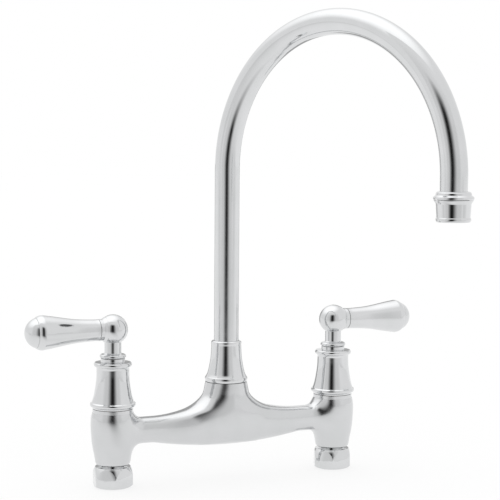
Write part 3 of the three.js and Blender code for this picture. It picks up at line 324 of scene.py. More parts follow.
def combine(thing, others, operation):
    """Joins the others to a solid, or cuts them out of it, and removes them."""
    for other in others:
        modifier = thing.modifiers.new("combine", "BOOLEAN")
        modifier.object = other
        modifier.operation = operation
        modifier.solver = "MANIFOLD"
        bpy.context.view_layer.update()
        apply_modifiers(thing)
        bpy.data.objects.remove(other)
    return thing


def moved(thing, matrix):
    thing.data.transform(matrix)
    return thing


def shift(x=0.0, y=0.0, z=0.0):
    return Matrix.Translation(Vector((x, y, z)) * MM)


def turn_about(axis, degrees):
    return Matrix.Rotation(math.radians(degrees), 4, axis)


def bar(radius, bottom, top):
    """The outline of a plain cylinder."""
    return Profile(0, bottom).lines((radius, bottom), (radius, top), (0, top))


def rod(radius, bottom, top, sides=ROUND):
    """A plain cylinder on Z, used to cut."""
    return turned("cutter", bar(radius, bottom, top), sides, ease=0)


def prism(corners, bottom, top):
    """An upright solid over a closed outline of (x, y) corners."""
    count = len(corners)
    vertices = [(x, y, z) for z in (bottom, top) for x, y in corners]
    faces = [tuple(range(count)), tuple(range(count, 2 * count))]
    faces += [(i, (i + 1) % count, count + (i + 1) % count, count + i) for i in range(count)]
    return mesh_object("prism", vertices, faces)


def star(corners, *radii):
    """Corners at equal angles with the given radii in turn."""
    total = corners * len(radii)
    turns = [(radii[i % len(radii)], 2 * math.pi * i / total) for i in range(total)]
    return [(radius * math.cos(angle), radius * math.sin(angle)) for radius, angle in turns]


def polished(thing, angle=SHARP):
    """Smooth shading with only true corners left sharp."""
    thing.data.shade_smooth()
    thing.data.set_sharp_from_angle(angle=angle)
    return thing


def fit(thing, name, body, node, slot, material):
    """Names a finished piece, and makes it stand for its node and ride on its body."""
    thing.name = name
    thing.data.name = name
    thing.data.materials.clear()
    thing.data.materials.append(material)
    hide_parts(node)
    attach(thing, body)


# --- Materials ---

NOISE_LOW, NOISE_HIGH = 0.3, 0.7  # the middle of a noise's range
CHROME_DARK, CHROME_LIGHT = (-0.02, -0.01, -0.005), (0.01, 0.015, 0.025)  # off its tone
CHROME_TINT_SIZE, CHROME_HAZE_SIZE = 18.0, 7.0
TOOL_LINES = 2.4  # size of the lines on bare metal
METAL_PATCH, METAL_DULLING = 6.0, 0.08
MOULDED_PATCH, MOULDED_DULLING = 5.0, 0.06


def new_material(name):
    material = bpy.data.materials.new(name)
    material.use_nodes = True
    return material, material.node_tree, material.node_tree.nodes["Principled BSDF"]


def add(tree, kind, inputs=None, **settings):
    """A node with its settings, and its inputs either linked or set."""
    node = tree.nodes.new(kind)
    for key, value in settings.items():
        setattr(node, key, value)
    for key, value in (inputs or {}).items():
        if isinstance(value, bpy.types.NodeSocket):
            tree.links.new(value, node.inputs[key])
        else:
            node.inputs[key].default_value = value
    return node


def math_node(tree, operation, first, second):
    return add(tree, "ShaderNodeMath", {0: first, 1: second}, operation=operation).outputs[0]


def place_of(tree):
    """The place on the object, in metres."""
    return add(tree, "ShaderNodeTexCoord").outputs["Object"]


def axes(tree, place):
    return add(tree, "ShaderNodeSeparateXYZ", {"Vector": place}).outputs


def noise(tree, place, size, detail=2.0):
    """Noise whose patches are about `size` millimetres wide."""
    inputs = {"Vector": place, "Scale": 1 / (size * MM), "Detail": detail}
    return add(tree, "ShaderNodeTexNoise", inputs).outputs["Fac"]


def mapped(tree, value, start, end, least, most, **settings):
    """Least where the value is at its start, most where it is at its end, and between them."""
    ends = {"From Min": start, "From Max": end, "To Min": least, "To Max": most}
    return add(tree, "ShaderNodeMapRange", {"Value": value, **ends}, **settings).outputs["Result"]


def spread(tree, value, least, most):
    """Maps the middle of a noise's range to the numbers between least and most."""
    return mapped(tree, value, NOISE_LOW, NOISE_HIGH, least, most)


def coloured(tree, shader, patches, first, second):
    """Colours the surface in patches of two colours that run into each other."""
    inputs = {"Factor": spread(tree, patches, 0, 1), "A": (*first, 1), "B": (*second, 1)}
    colour = add(tree, "ShaderNodeMix", inputs, data_type="RGBA").outputs["Result"]
    tree.links.new(colour, shader.inputs["Base Color"])


def bumped(tree, shader, height, depth):
    """Raises the surface by a height between 0 and 1 times `depth` millimetres."""
    bump = add(tree, "ShaderNodeBump", {"Height": height, "Distance": depth * MM, "Strength": 1.0})
    tree.links.new(bump.outputs["Normal"], shader.inputs["Normal"])


def chrome(name, ripple_size, ripple_depth, clearest=0.03, dullest=0.075, tone=0.7, foot_haze=None):
    """Mirror chrome with wiping haze, a roughness from clearest to dullest, and the slow ripple that
    polishing leaves. `foot_haze` (top, bottom, most) is further roughness that comes in between two
    heights, in metres, and is `most` at the lower one."""
    material, tree, shader = new_material(name)
    place = place_of(tree)
    tint = noise(tree, place, CHROME_TINT_SIZE)
    haze = noise(tree, place, CHROME_HAZE_SIZE, detail=5.0)
    ripple = noise(tree, place, ripple_size, detail=1.0)
    dark, light = ([tone + stray for stray in strays] for strays in (CHROME_DARK, CHROME_LIGHT))
    coloured(tree, shader, tint, dark, light)
    roughness = spread(tree, haze, clearest, dullest)
    if foot_haze:
        top, bottom, most = foot_haze
        fade = mapped(tree, axes(tree, place)["Z"], top, bottom, 0.0, most)
        roughness = math_node(tree, "ADD", roughness, fade)
    tree.links.new(roughness, shader.inputs["Roughness"])
    shader.inputs["Metallic"].default_value = 1.0
    bumped(tree, shader, ripple, ripple_depth)
    return material


def bare_metal(name, dark, light, roughness, line_depth):
    """Turned bare metal: fine lines left by the tool, and patches where it has dulled."""
    material, tree, shader = new_material(name)
    place = place_of(tree)
    patches = noise(tree, place, METAL_PATCH, detail=4.0)
    inputs = {"Vector": place, "Scale": 1 / (TOOL_LINES * MM), "Distortion": 0.6, "Detail": 2.0}
    lines = add(tree, "ShaderNodeTexWave", inputs, bands_direction="Z").outputs["Fac"]
    coloured(tree, shader, patches, dark, light)
    dulled = spread(tree, patches, roughness - METAL_DULLING, roughness + METAL_DULLING)
    tree.links.new(dulled, shader.inputs["Roughness"])
    shader.inputs["Metallic"].default_value = 1.0
    bumped(tree, shader, lines, line_depth)
    return material


def moulded(name, dark, light, roughness, grain, grain_depth):
    """Rubber, plastic or ceramic: a fine grain with slight patches of colour and sheen."""
    material, tree, shader = new_material(name)
    place = place_of(tree)
    patches = noise(tree, place, MOULDED_PATCH, detail=4.0)
    speckle = noise(tree, place, grain, detail=3.0)
    coloured(tree, shader, patches, dark, light)
    dulled = spread(tree, speckle, roughness - MOULDED_DULLING, roughness + MOULDED_DULLING)
    tree.links.new(dulled, shader.inputs["Roughness"])
    bumped(tree, shader, speckle, grain_depth)
    return material


CAST_CHROME = chrome("cast_chrome", 22.0, 0.03, clearest=0.13, dullest=0.2, tone=0.665)
TURNED_CHROME = chrome("turned_chrome", 14.0, 0.006)
TUBE_CHROME = chrome("tube_chrome", 30.0, 0.008, foot_haze=(0.34, 0.12, 0.16))
CONE_CHROME = chrome("cone_chrome", 14.0, 0.006, clearest=0.09, dullest=0.13)
BRASS = bare_metal("brass", (0.62, 0.46, 0.2), (0.76, 0.6, 0.32), 0.32, line_depth=0.02)
STEEL = bare_metal("stainless_steel", (0.5, 0.51, 0.52), (0.63, 0.64, 0.65), 0.3, line_depth=0.01)
RUBBER = moulded("rubber", (0.03, 0.03, 0.032), (0.055, 0.055, 0.06), 0.72, 0.5, 0.03)
CERAMIC = moulded("ceramic", (0.8, 0.78, 0.71), (0.87, 0.85, 0.79), 0.3, 0.3, 0.004)
NYLON = moulded("nylon", (0.78, 0.78, 0.74), (0.86, 0.86, 0.83), 0.45, 0.8, 0.01)

CHROMED = ("polished_chrome", TURNED_CHROME)  # slot and material
SLOT_MATERIALS = {
    "polished_chrome": TURNED_CHROME,
    "brass": BRASS,
    "stainless_steel": STEEL,
    "rubber": RUBBER,
    "ceramic": CERAMIC,
    "nylon": NYLON,
}


# Every piece of the frame gets its material. Most of those that stay are hidden inside.
for row in frame["record"]["subparts"]:
    materials = frame["nodes"][row["node"]].data.materials
    materials.clear()
    materials.append(SLOT_MATERIALS[row["material_slot"]])


# --- Casting: the pillars, arms and upstand as one blended skin ---

LAND_HEIGHT = 3.1
LAND_RADIUS = 16.7
PILLAR_FOOT_RADIUS = 13.3
PILLAR_FOOT_ROUNDING, PILLAR_FOOT_SWELL = 1.6, 1.1
PILLAR_BELLY_RADIUS = 18.3
PILLAR_BELLY = (  # shares of the pillar's height, and how much slimmer than the belly it is there
    (0.17, 2.9), (0.34, 1.4), (0.52, 0.5), (0.73, 0.0), (0.9, 0.2),
)
PILLAR_SHOULDER_RADIUS = 16.9
PILLAR_FILLET = 8.0
ARM_TOP_DROP = 6.0
ARM_THIN_HEIGHT = 21.6
ARM_THIN_FROM_PILLAR = 34.6
ARM_THIN_HALF_DEPTH = 10.4
ARM_MIDDLE_HALF_DEPTH = 17.4
ARM_RISE = 19.8
ARM_SAG = 6.2
ARM_TOP_SQUARENESS = 2.7
ARM_BELLY_SQUARENESS = 2.2
WATERWAY_RADIUS = 5.0
UPSTAND_TOP_RADIUS = 17.7
UPSTAND_HALF_DEPTH = 17.86
UPSTAND_DEPTHS = ((0.0, 0.5), (5.0, 0.86), (12.0, 1.0))  # heights over its foot, shares of that
UPSTAND_EVEN_TO = 12.0  # below its top
UPSTAND_FLARE = (  # distances below the upstand's top, and how much wider than its top it is there
    (47.6, 5.0), (30.0, 16.0), (24.5, 17.0), (19.5, 11.0), (15.5, 6.8), (10.5, 2.8), (5.0, 1.1),
)
UPSTAND_FILLET = 6.0
CURVE_STEPS = 60

pillar_bottom = low("bridge_body")
upstand_top = high("bridge_body")
land_top = low("left_shroud") - GAP
pillar_top = land_top - LAND_HEIGHT
pillar_height = pillar_top - pillar_bottom
arm_thin_x = half_spacing - ARM_THIN_FROM_PILLAR
arm_thin_top = pillar_top - ARM_TOP_DROP
arm_thin_bottom = arm_thin_top - ARM_THIN_HEIGHT
waterway_height = (arm_thin_top + arm_thin_bottom) / 2
upstand_foot = arm_thin_bottom - ARM_SAG + UPSTAND_FILLET


def radius_curve(*pairs):
    """A smooth radius for any height, through (height, radius) pairs."""
    samples = np.array(catmull_rom(pairs, CURVE_STEPS))
    return lambda height: np.interp(height, samples[:, 0], samples[:, 1])


pillar_radius = radius_curve(
    (pillar_bottom, PILLAR_FOOT_RADIUS),
    (pillar_bottom + PILLAR_FOOT_ROUNDING, PILLAR_FOOT_RADIUS + PILLAR_FOOT_SWELL),
    *((pillar_bottom + pillar_height * up, PILLAR_BELLY_RADIUS - less) for up, less in PILLAR_BELLY),
    (pillar_top, PILLAR_SHOULDER_RADIUS),
)

upstand_depth = radius_curve(
    *((upstand_foot + up, UPSTAND_HALF_DEPTH * share) for up, share in UPSTAND_DEPTHS),
    (upstand_top - UPSTAND_EVEN_TO, UPSTAND_HALF_DEPTH),
    (upstand_top, UPSTAND_TOP_RADIUS),
)

upstand_width = radius_curve(
    *((upstand_top - down, UPSTAND_TOP_RADIUS + more) for down, more in UPSTAND_FLARE),
    (upstand_top, UPSTAND_TOP_RADIUS),
)


def blend_min(a, b, width):
    """The smaller of two distances, rounded over a width where they are alike."""
    overlap = np.maximum(width - np.abs(a - b), 0) / width
    return np.minimum(a, b) - overlap * overlap * width / 4


def oval_distance(u, v, half_u, half_v, squareness=2.0):
    """Signed distance to an oval, near enough for blending. Negative inside."""
    flat = 1e-9
    u, v = np.abs(u) / half_u, np.abs(v) / half_v
    scaled = (u**squareness + v**squareness) ** (1 / squareness)
    power = squareness - 1
    slope = np.hypot(u**power / half_u, v**power / half_v)
    near = (scaled - 1) * scaled**power / np.maximum(slope, flat)
    return np.where(slope > flat, near, -half_v)


def skin_distance(x, y, z):
    """Signed distance to the casting's skin, near enough for blending. Negative inside."""
    across = np.abs(x)
    pillar = np.hypot(across - half_spacing, y) - pillar_radius(z)
    inward = np.maximum(1 - across / arm_thin_x, 0)
    outward = np.minimum(across / arm_thin_x, 1)
    top = arm_thin_top + ARM_RISE * inward**2
    bottom = arm_thin_bottom - ARM_SAG * (1 - outward**2)
    swell = (1 - outward**2) ** 2
    half_depth = ARM_THIN_HALF_DEPTH + (ARM_MIDDLE_HALF_DEPTH - ARM_THIN_HALF_DEPTH) * swell
    rise = z - (top + bottom) / 2
    squareness = np.where(rise > 0, ARM_TOP_SQUARENESS, ARM_BELLY_SQUARENESS)
    arm = oval_distance(rise, y, (top - bottom) / 2, half_depth, squareness)
    upstand = oval_distance(x, y, upstand_width(z), upstand_depth(z))
    upstand = np.maximum(upstand, upstand_foot - z)
    blended = blend_min(blend_min(arm, upstand, UPSTAND_FILLET), pillar, PILLAR_FILLET)
    return np.where(across >= half_spacing, pillar, blended)


OUTLINE_STRIDE = 0.25
OUTLINE_HALVINGS, DEPTH_HALVINGS = 30, 40


def meet_outline(x, z, step_x, step_z):
    """Where a ray from outside first meets the casting's outline in the XZ plane."""

    def outside(way):
        return skin_distance(x + way * step_x, 0.0, z + way * step_z) > 0

    far = OUTLINE_STRIDE
    while outside(far):
        far += OUTLINE_STRIDE
    near = far - OUTLINE_STRIDE
    for _ in range(OUTLINE_HALVINGS):
        half = (near + far) / 2
        if outside(half):
            near = half
        else:
            far = half
    return x + near * step_x, z + near * step_z


def half_depth_at(x, z):
    """Half the casting's depth at points of the XZ plane."""
    near = np.zeros_like(x)
    far = np.full_like(x, PILLAR_BELLY_RADIUS + UPSTAND_HALF_DEPTH)
    for _ in range(DEPTH_HALVINGS):
        half = (near + far) / 2
        inside = skin_distance(x, half, z) < 0
        near = np.where(inside, half, near)
        far = np.where(inside, far, half)
    return np.where(skin_distance(x, 0.0 * x, z) > -SAME, 0.0, near)


def steps_between(start, end, count):
    """Numbers from start to end in equal steps, without the first."""
    return [start + (end - start) * (i + 1) / count for i in range(count)]


def fan(x, z, start, end, count):
    """Where the rays of a fan about an outside point meet the outline."""
    return [meet_outline(x, z, math.cos(a), math.sin(a)) for a in steps_between(start, end, count)]


# The skin is a row of stations, each a closed ring around the casting. Their rays start below the
# arm, beside the pillar and beside the flare of the upstand.
UNDER_ARM = 11.0  # below the arm's thin part
BESIDE_PILLAR = 8.0  # from the arm's thin part towards the pillar
FLARE_X = 42.0
UPSTAND_X = 9.0  # how far from the middle the stations end that start at the upstand's top edge
OUTER_STATIONS, PILLAR_STATIONS, FAN_STATIONS = 18, 14, 18
ARM_STATIONS, FLARE_STATIONS, UPSTAND_STATIONS = 14, 26, 12
STATION_ROWS = 64


def station_ends():
    """Upper and lower end of each station over half the casting, from the pillar's axis inwards."""
    quarter = math.pi / 2
    under_arm = arm_thin_bottom - UNDER_ARM
    beside_pillar = arm_thin_x + BESIDE_PILLAR
    shoulder = meet_outline(beside_pillar, pillar_top, 1, 0)[0]
    foot = meet_outline(beside_pillar, pillar_bottom, 1, 0)[0]
    ends = []
    for a in steps_between(0, quarter, PILLAR_STATIONS):
        upper = half_spacing - (half_spacing - shoulder) * math.sin(a)
        lower = half_spacing - (half_spacing - foot) * math.sin(a)
        ends.append(((upper, pillar_top), (lower, pillar_bottom)))
    upper = fan(beside_pillar, pillar_top, 0, -quarter, FAN_STATIONS)
    lower = fan(beside_pillar, pillar_bottom, 0, quarter, FAN_STATIONS)
    ends += zip(upper, lower)
    arm = steps_between(beside_pillar, FLARE_X, ARM_STATIONS)
    flare = steps_between(FLARE_X, UPSTAND_X, FLARE_STATIONS)
    upstand = steps_between(UPSTAND_X, 0, UPSTAND_STATIONS)
    upper = [meet_outline(x, upstand_top, 0, -1) for x in arm]
    upper += fan(FLARE_X, upstand_top, -quarter, -math.pi, FLARE_STATIONS)
    for a in steps_between(quarter, 0, UPSTAND_STATIONS):
        upper.append((UPSTAND_TOP_RADIUS * math.sin(a), upstand_top))
    ends += zip(upper, (meet_outline(x, under_arm, 0, 1) for x in arm + flare + upstand))
    return ends


def casting_skin():
    shares = (1 - np.cos(np.pi * np.arange(STATION_ROWS + 1) / STATION_ROWS)) / 2
    heights = pillar_top - pillar_height * shares
    angles = [0, *steps_between(0, math.pi / 2, OUTER_STATIONS)]
    stations = [(half_spacing + pillar_radius(heights) * math.cos(a), heights) for a in angles]
    for (x0, z0), (x1, z1) in station_ends():
        stations.append((x0 + (x1 - x0) * shares, z0 + (z1 - z0) * shares))
    stations += [(-x, z) for x, z in stations[-2::-1]]
    rings = []
    for x, z in stations:
        front = list(zip(x, -half_depth_at(x, z), z))
        rings.append(front + [(px, -py, pz) for px, py, pz in front[::-1]])
    sides = len(rings[0])
    faces = []
    for i in range(len(rings) - 1):
        faces += band(i * sides, (i + 1) * sides, sides)
    return mesh_object("casting", [v for ring in rings for v in ring], faces)


POCKET_RADIUS = 10.7
POCKET_DEPTH = 32.3
SEAT_WEB = 3.0
TAIL_SOCKET_RADIUS = 9.3
INLET_RADIUS = 6.5
SPOUT_SOCKET_RADIUS = 10.7
SPOUT_SOCKET_DEPTH = 33.0
SPIGOT_BORE_RADIUS = 6.5
COUNTERBORE_RADIUS = 14.3
counterbore_floor = low("spout_washer_lower") - GAP


def bridge_body():
    body = casting_skin()
    seat = land_top - POCKET_DEPTH
    socket_top = seat - SEAT_WEB
    socket_floor = upstand_top - SPOUT_SOCKET_DEPTH
    lands, cuts = [], []
    for _, side in SIDES:
        at = shift(x=side * half_spacing)
        lands.append(moved(turned("land", bar(LAND_RADIUS, pillar_top - CUT, land_top)), at))
        cuts.append(moved(rod(TAIL_SOCKET_RADIUS, pillar_bottom - CUT, socket_top), at))
        cuts.append(moved(rod(INLET_RADIUS, socket_top - CUT, seat + CUT), at))
        cuts.append(moved(rod(POCKET_RADIUS, seat, land_top + CUT), at))
    waterway = moved(rod(WATERWAY_RADIUS, -half_spacing, half_spacing), turn_about("Y", 90))
    cuts.append(moved(waterway, shift(z=waterway_height)))
    cuts.append(rod(SPIGOT_BORE_RADIUS, waterway_height - WATERWAY_RADIUS, socket_floor + CUT))
    cuts.append(rod(SPOUT_SOCKET_RADIUS, socket_floor, counterbore_floor + CUT))
    cuts.append(rod(COUNTERBORE_RADIUS, counterbore_floor, upstand_top + CUT))
    combine(body, lands, "UNION")
    combine(body, cuts, "DIFFERENCE")
    return polished(body)


fit(bridge_body(), "bridge_casting", "base", "bridge_body", "polished_chrome", CAST_CHROME)


# --- Inlets ---

NUT_ACROSS_FLATS = 30.5
NUT_THREAD_RADIUS = 12.1
NUT_THREAD_PITCH = 1.814
NUT_THREAD_DEPTH = 0.9
NUT_THREAD_LEAD = 1.0  # the chamfer at its mouth, and the plain wall at both ends of the thread
NUT_LIP = 4.0
NUT_RIM_RADIUS = 13.4
NUT_ROUNDING = 3.6
NUT_CORNER_LAND = 0.2
NUT_CORNER_ROUNDING = 0.45
NUT_CHAMFER = 8.5
NUT_CHAMFER_START = 0.54
NUT_TOP_RADIUS = 14.6
NUT_SHARP = math.radians(32)
NUT_TURNS = {"left": -39.5, "right": -52.8}
TAIL_RADIUS = 9.0
TAIL_BORE_RADIUS = 6.5
TAIL_FLANGE = 2.3
WASHER_INSET = 0.8

nut_height = high("left_union_nut")
lip_bottom = nut_height - NUT_LIP


def union_nut(name):
    hexagon = NUT_ACROSS_FLATS / 2 / math.cos(math.pi / 6)
    corner = hexagon + NUT_CORNER_LAND
    turn = nut_height - NUT_CHAMFER * NUT_CHAMFER_START
    envelope = Profile(0, 0).line(NUT_RIM_RADIUS, 0)
    envelope.curve(corner - 1.0, NUT_ROUNDING * 0.3, corner, NUT_ROUNDING, steps=14)
    envelope.line(corner, nut_height - NUT_CHAMFER)
    envelope.curve(corner - 0.55, turn, NUT_TOP_RADIUS, nut_height, steps=14)
    envelope.line(0, nut_height)
    nut = prism(star(6, hexagon), 0, nut_height)
    soften = nut.modifiers.new("corners", "BEVEL")
    soften.width = NUT_CORNER_ROUNDING * MM
    soften.segments = 4
    apply_modifiers(nut)
    combine(nut, [turned("envelope", envelope, ease=0)], "INTERSECT")
    mouth, hole = NUT_THREAD_RADIUS + NUT_THREAD_LEAD, TAIL_RADIUS + GAP
    bore = Profile(0, -CUT).lines(
        (mouth, -CUT), (mouth, 0), (NUT_THREAD_RADIUS, NUT_THREAD_LEAD),
        (NUT_THREAD_RADIUS, lip_bottom), (hole, lip_bottom),
        (hole, nut_height + CUT), (0, nut_height + CUT),
    )
    thread = (
        NUT_THREAD_LEAD, lip_bottom - NUT_THREAD_LEAD, NUT_THREAD_RADIUS, NUT_THREAD_PITCH,
        NUT_THREAD_DEPTH,
    )
    combine(nut, [turned("bore", bore, ease=0, thread=thread)], "DIFFERENCE")
    return polished(moved(nut, turn_about("Z", NUT_TURNS[name])), NUT_SHARP)


def inlet_tail():
    bottom, top = span("left_inlet_tail")
    flange, flange_top = NUT_THREAD_RADIUS - 2 * GAP, bottom + TAIL_FLANGE
    shape = Profile(TAIL_BORE_RADIUS, bottom).lines(
        (flange, bottom), (flange, flange_top), (TAIL_RADIUS, flange_top), (TAIL_RADIUS, top),
        (TAIL_BORE_RADIUS, top),
    )
    return polished(turned("tail", shape.close()))


def inlet_washer():
    bottom, top = span("left_inlet_washer")
    inner, outer = TAIL_BORE_RADIUS + WASHER_INSET, NUT_THREAD_RADIUS - GAP
    shape = Profile(inner, bottom).lines((outer, bottom), (outer, top), (inner, top))
    return polished(turned("washer", shape.close()))


for name, side in SIDES:
    at = shift(x=side * half_spacing)
    fit(moved(union_nut(name), at), f"{name}_nut", f"{name}_nut", f"{name}_union_nut", *CHROMED)
    fit(moved(inlet_tail(), at), f"{name}_tail", "base", f"{name}_inlet_tail", *CHROMED)
    washer = moved(inlet_washer(), at)
    fit(washer, f"{name}_seat_washer", "base", f"{name}_inlet_washer", "rubber", RUBBER)


# --- Shrouds ---

SHROUD_RING_RADIUS = 19.1
SHROUD_RING_HEIGHT = 5.2
SHROUD_WAIST_RADIUS = 13.3
SHROUD_CONE = ((2.4, 11.2), (0.5, 23.0))  # how much wider than the waist, heights over its foot
SHROUD_CONE_END = 6.4  # below the top ring's top
SHROUD_TOP_RING_RADIUS = 15.7
SHROUD_NECK_RADIUS = 10.0
SHROUD_NECK_HEIGHT = 2.6
HEAD_HEX_CORNER = 14.43
HEAD_HEX_HEIGHT = 6.0
HEAD_HEX_ROOM = 1.0
HEAD_NECK_RADIUS = 8.0
CLIP_BOSS_LENGTH = 6.0
SPINDLE_HOLE_RADIUS = 5.3


def shroud():
    bottom, neck_top = span("left_shroud")
    top = neck_top - SHROUD_NECK_HEIGHT
    ring, waist, top_ring = SHROUD_RING_RADIUS, SHROUD_WAIST_RADIUS, SHROUD_TOP_RING_RADIUS
    cavity, boss = HEAD_HEX_CORNER + GAP, HEAD_NECK_RADIUS + GAP
    clip_top = high("left_circlip") + 2 * GAP
    boss_bottom = low("left_circlip") - GAP - CLIP_BOSS_LENGTH
    hex_top = bottom + HEAD_HEX_HEIGHT
    shape = Profile(cavity, bottom).line(LAND_RADIUS, bottom)
    shape.curve(LAND_RADIUS + 0.2, bottom + 1.3, ring - 0.7, bottom + 1.9)
    shape.curve(ring + 0.2, bottom + 3.0, ring - 0.5, bottom + 4.4)
    shape.line(ring - 1.6, bottom + SHROUD_RING_HEIGHT)
    cone = [(waist + more, bottom + up) for more, up in SHROUD_CONE]
    shape.smooth(*cone, (waist + 0.1, top - SHROUD_CONE_END))
    shape.curve(waist + 0.4, top - 4.4, top_ring - 0.4, top - 3.8)
    shape.curve(top_ring + 0.5, top - 2.2, top_ring - 0.9, top - 0.7)
    shape.lines((SHROUD_NECK_RADIUS, top), (SHROUD_NECK_RADIUS, neck_top))
    shape.lines((SPINDLE_HOLE_RADIUS, neck_top), (SPINDLE_HOLE_RADIUS, clip_top))
    shape.lines((boss, clip_top), (boss, boss_bottom), (cavity, hex_top + HEAD_HEX_ROOM)).close()
    return polished(turned("shroud", shape))


for name, side in SIDES:
    cone = moved(shroud(), shift(x=side * half_spacing))
    fit(cone, f"{name}_cone", "base", f"{name}_shroud", *CHROMED)


# --- Handles. A lever points along +X before it is placed. ---

BALL_RADIUS = 12.4
STEM_RADIUS = 6.9
HUB_FLANGE_RADIUS = 10.9
HUB_FLANGE_HEIGHT = 3.5
HUB_FLANGE_CHAMFER = 0.9
HUB_BOSS_RADIUS = 8.95
HUB_BOSS_LENGTH = 12.5
HUB_COLLAR_WIDTH = 1.6
HUB_COLLAR_ENDS = (5.4, 3.2)  # from the boss's end to where its collar starts and ends to taper
HUB_SOCKET_DEPTH = 15.0
HUB_SHARP = math.radians(28)
HUB_SCREW_RADIUS = 2.0
HUB_SCREW_RISE = 7.8
HUB_SCREW_SUNK = 0.4
HUB_SCREW_KEY_RADIUS = 1.1
HUB_SCREW_KEY_FLOOR = 1.6  # below the stem's surface
SPLINE_TEETH = 12
SPLINE_OUTER_RADIUS = 4.1
SPLINE_INNER_RADIUS = 3.5
LEVER_WAIST_RADIUS = 8.85
LEVER_GRIP_RADIUS = 14.25
LEVER_GRIP = (  # radii of the grip, and shares of the length from its start to where it is widest
    (LEVER_WAIST_RADIUS, 0.1), (LEVER_WAIST_RADIUS + 1.1, 0.44), (LEVER_GRIP_RADIUS - 1.3, 0.82),
)
LEVER_WIDEST = 5.2  # from its end
LEVER_END_INSET = 1.9
LEVER_STUD_RADIUS = 4.0
LEVER_STUD_LENGTH = 9.0
CAP_LENGTH = 8.7
CAP_BALL_RADIUS = 12.9
CAP_STUD_RADIUS = 3.0
CAP_STUD_LENGTH = 8.6
SEAM = 0.05  # the cap is screwed tight on the grip

hub_bottom = low("right_handle_hub")
lever_axis = middle("right_lever")
lever_length = high("right_lever_cap", 0) - half_spacing


def along_lever(thing):
    return moved(thing, shift(z=lever_axis) @ turn_about("Y", 90))


def across_stem(thing, side):
    return moved(thing, shift(z=hub_bottom + HUB_SCREW_RISE) @ turn_about("X", -90 * side))


def handle_hub(side):
    """Flange, stem and ball in one turning, with a boss for the lever."""
    flange_top = hub_bottom + HUB_FLANGE_HEIGHT
    shape = Profile(0, hub_bottom).line(SHROUD_NECK_RADIUS, hub_bottom)
    shape.line(HUB_FLANGE_RADIUS, hub_bottom + HUB_FLANGE_CHAMFER)
    shape.curve(HUB_FLANGE_RADIUS, flange_top - 0.8, STEM_RADIUS + 2.4, flange_top - 0.4)
    shape.curve(STEM_RADIUS, flange_top, STEM_RADIUS, flange_top + 1.0)
    shape.dome(lever_axis, BALL_RADIUS, -math.acos(STEM_RADIUS / BALL_RADIUS), steps=60)
    collar = HUB_BOSS_RADIUS + HUB_COLLAR_WIDTH
    taper_start, taper_end = (HUB_BOSS_LENGTH - back for back in HUB_COLLAR_ENDS)
    boss = Profile(0, 0).lines(
        (collar, 0), (collar, taper_start), (HUB_BOSS_RADIUS, taper_end),
        (HUB_BOSS_RADIUS, HUB_BOSS_LENGTH), (0, HUB_BOSS_LENGTH),
    )
    stud_floor = HUB_BOSS_LENGTH - LEVER_STUD_LENGTH
    stud_hole = rod(LEVER_STUD_RADIUS + GAP, stud_floor, HUB_BOSS_LENGTH + CUT)
    spline = star(SPLINE_TEETH, SPLINE_OUTER_RADIUS + GAP, SPLINE_INNER_RADIUS + GAP)
    hub = turned("hub", shape, ease=0.25)
    combine(hub, [along_lever(turned("boss", boss))], "UNION")
    cuts = [
        along_lever(stud_hole),
        prism(spline, hub_bottom - CUT, hub_bottom + HUB_SOCKET_DEPTH),
        across_stem(rod(HUB_SCREW_RADIUS + GAP, 0, STEM_RADIUS + CUT), side),
    ]
    combine(hub, cuts, "DIFFERENCE")
    return polished(hub, HUB_SHARP)


def hub_screw(side):
    point, head = SPLINE_OUTER_RADIUS + GAP, STEM_RADIUS - HUB_SCREW_SUNK
    screw = turned("screw", bar(HUB_SCREW_RADIUS, point, head), sides=48, ease=0.2)
    key = prism(star(6, HUB_SCREW_KEY_RADIUS), STEM_RADIUS - HUB_SCREW_KEY_FLOOR, STEM_RADIUS + CUT)
    return polished(across_stem(combine(screw, [key], "DIFFERENCE"), side))


def lever():
    start = HUB_BOSS_LENGTH + GAP
    end = lever_length - CAP_LENGTH - GAP
    widest = end - LEVER_WIDEST
    stud_end, hole_floor = start - LEVER_STUD_LENGTH, end - CAP_STUD_LENGTH
    shape = Profile(0, stud_end).lines(
        (LEVER_STUD_RADIUS, stud_end), (LEVER_STUD_RADIUS, start), (HUB_BOSS_RADIUS, start)
    )
    grip = [(radius, start + (widest - start) * share) for radius, share in LEVER_GRIP]
    shape.smooth(*grip, (LEVER_GRIP_RADIUS, widest))
    shape.curve(LEVER_GRIP_RADIUS, end - 2.0, LEVER_GRIP_RADIUS - LEVER_END_INSET, end, steps=16)
    hole = CAP_STUD_RADIUS + GAP
    shape.lines((hole, end), (hole, hole_floor), (0, hole_floor))
    return polished(along_lever(turned("lever", shape)))


def lever_cap():
    face = lever_length - CAP_LENGTH - GAP + SEAM
    stud_end = face - CAP_STUD_LENGTH + GAP
    centre = lever_length - CAP_BALL_RADIUS
    shape = Profile(0, stud_end).lines((CAP_STUD_RADIUS, stud_end), (CAP_STUD_RADIUS, face))
    shape.dome(centre, CAP_BALL_RADIUS, math.asin((face - centre) / CAP_BALL_RADIUS), steps=30)
    return polished(along_lever(turned("cap", shape, ease=0.5)))


for name, side in SIDES:
    at = shift(x=side * half_spacing) @ turn_about("Z", 0 if side > 0 else 180)
    body = f"{name}_handle"
    fit(moved(handle_hub(side), at), f"{name}_ball_hub", body, f"{name}_handle_hub", *CHROMED)
    fit(moved(lever(), at), f"{name}_grip", body, f"{name}_lever", *CHROMED)
    fit(moved(lever_cap(), at), f"{name}_end_cap", body, f"{name}_lever_cap", *CHROMED)
    screw = moved(hub_screw(side), at)
    fit(screw, f"{name}_set_screw", body, f"{name}_hub_screw", "stainless_steel", STEEL)


# --- Spout. It reaches towards +X in the XZ plane before it is turned to its rest angle. ---

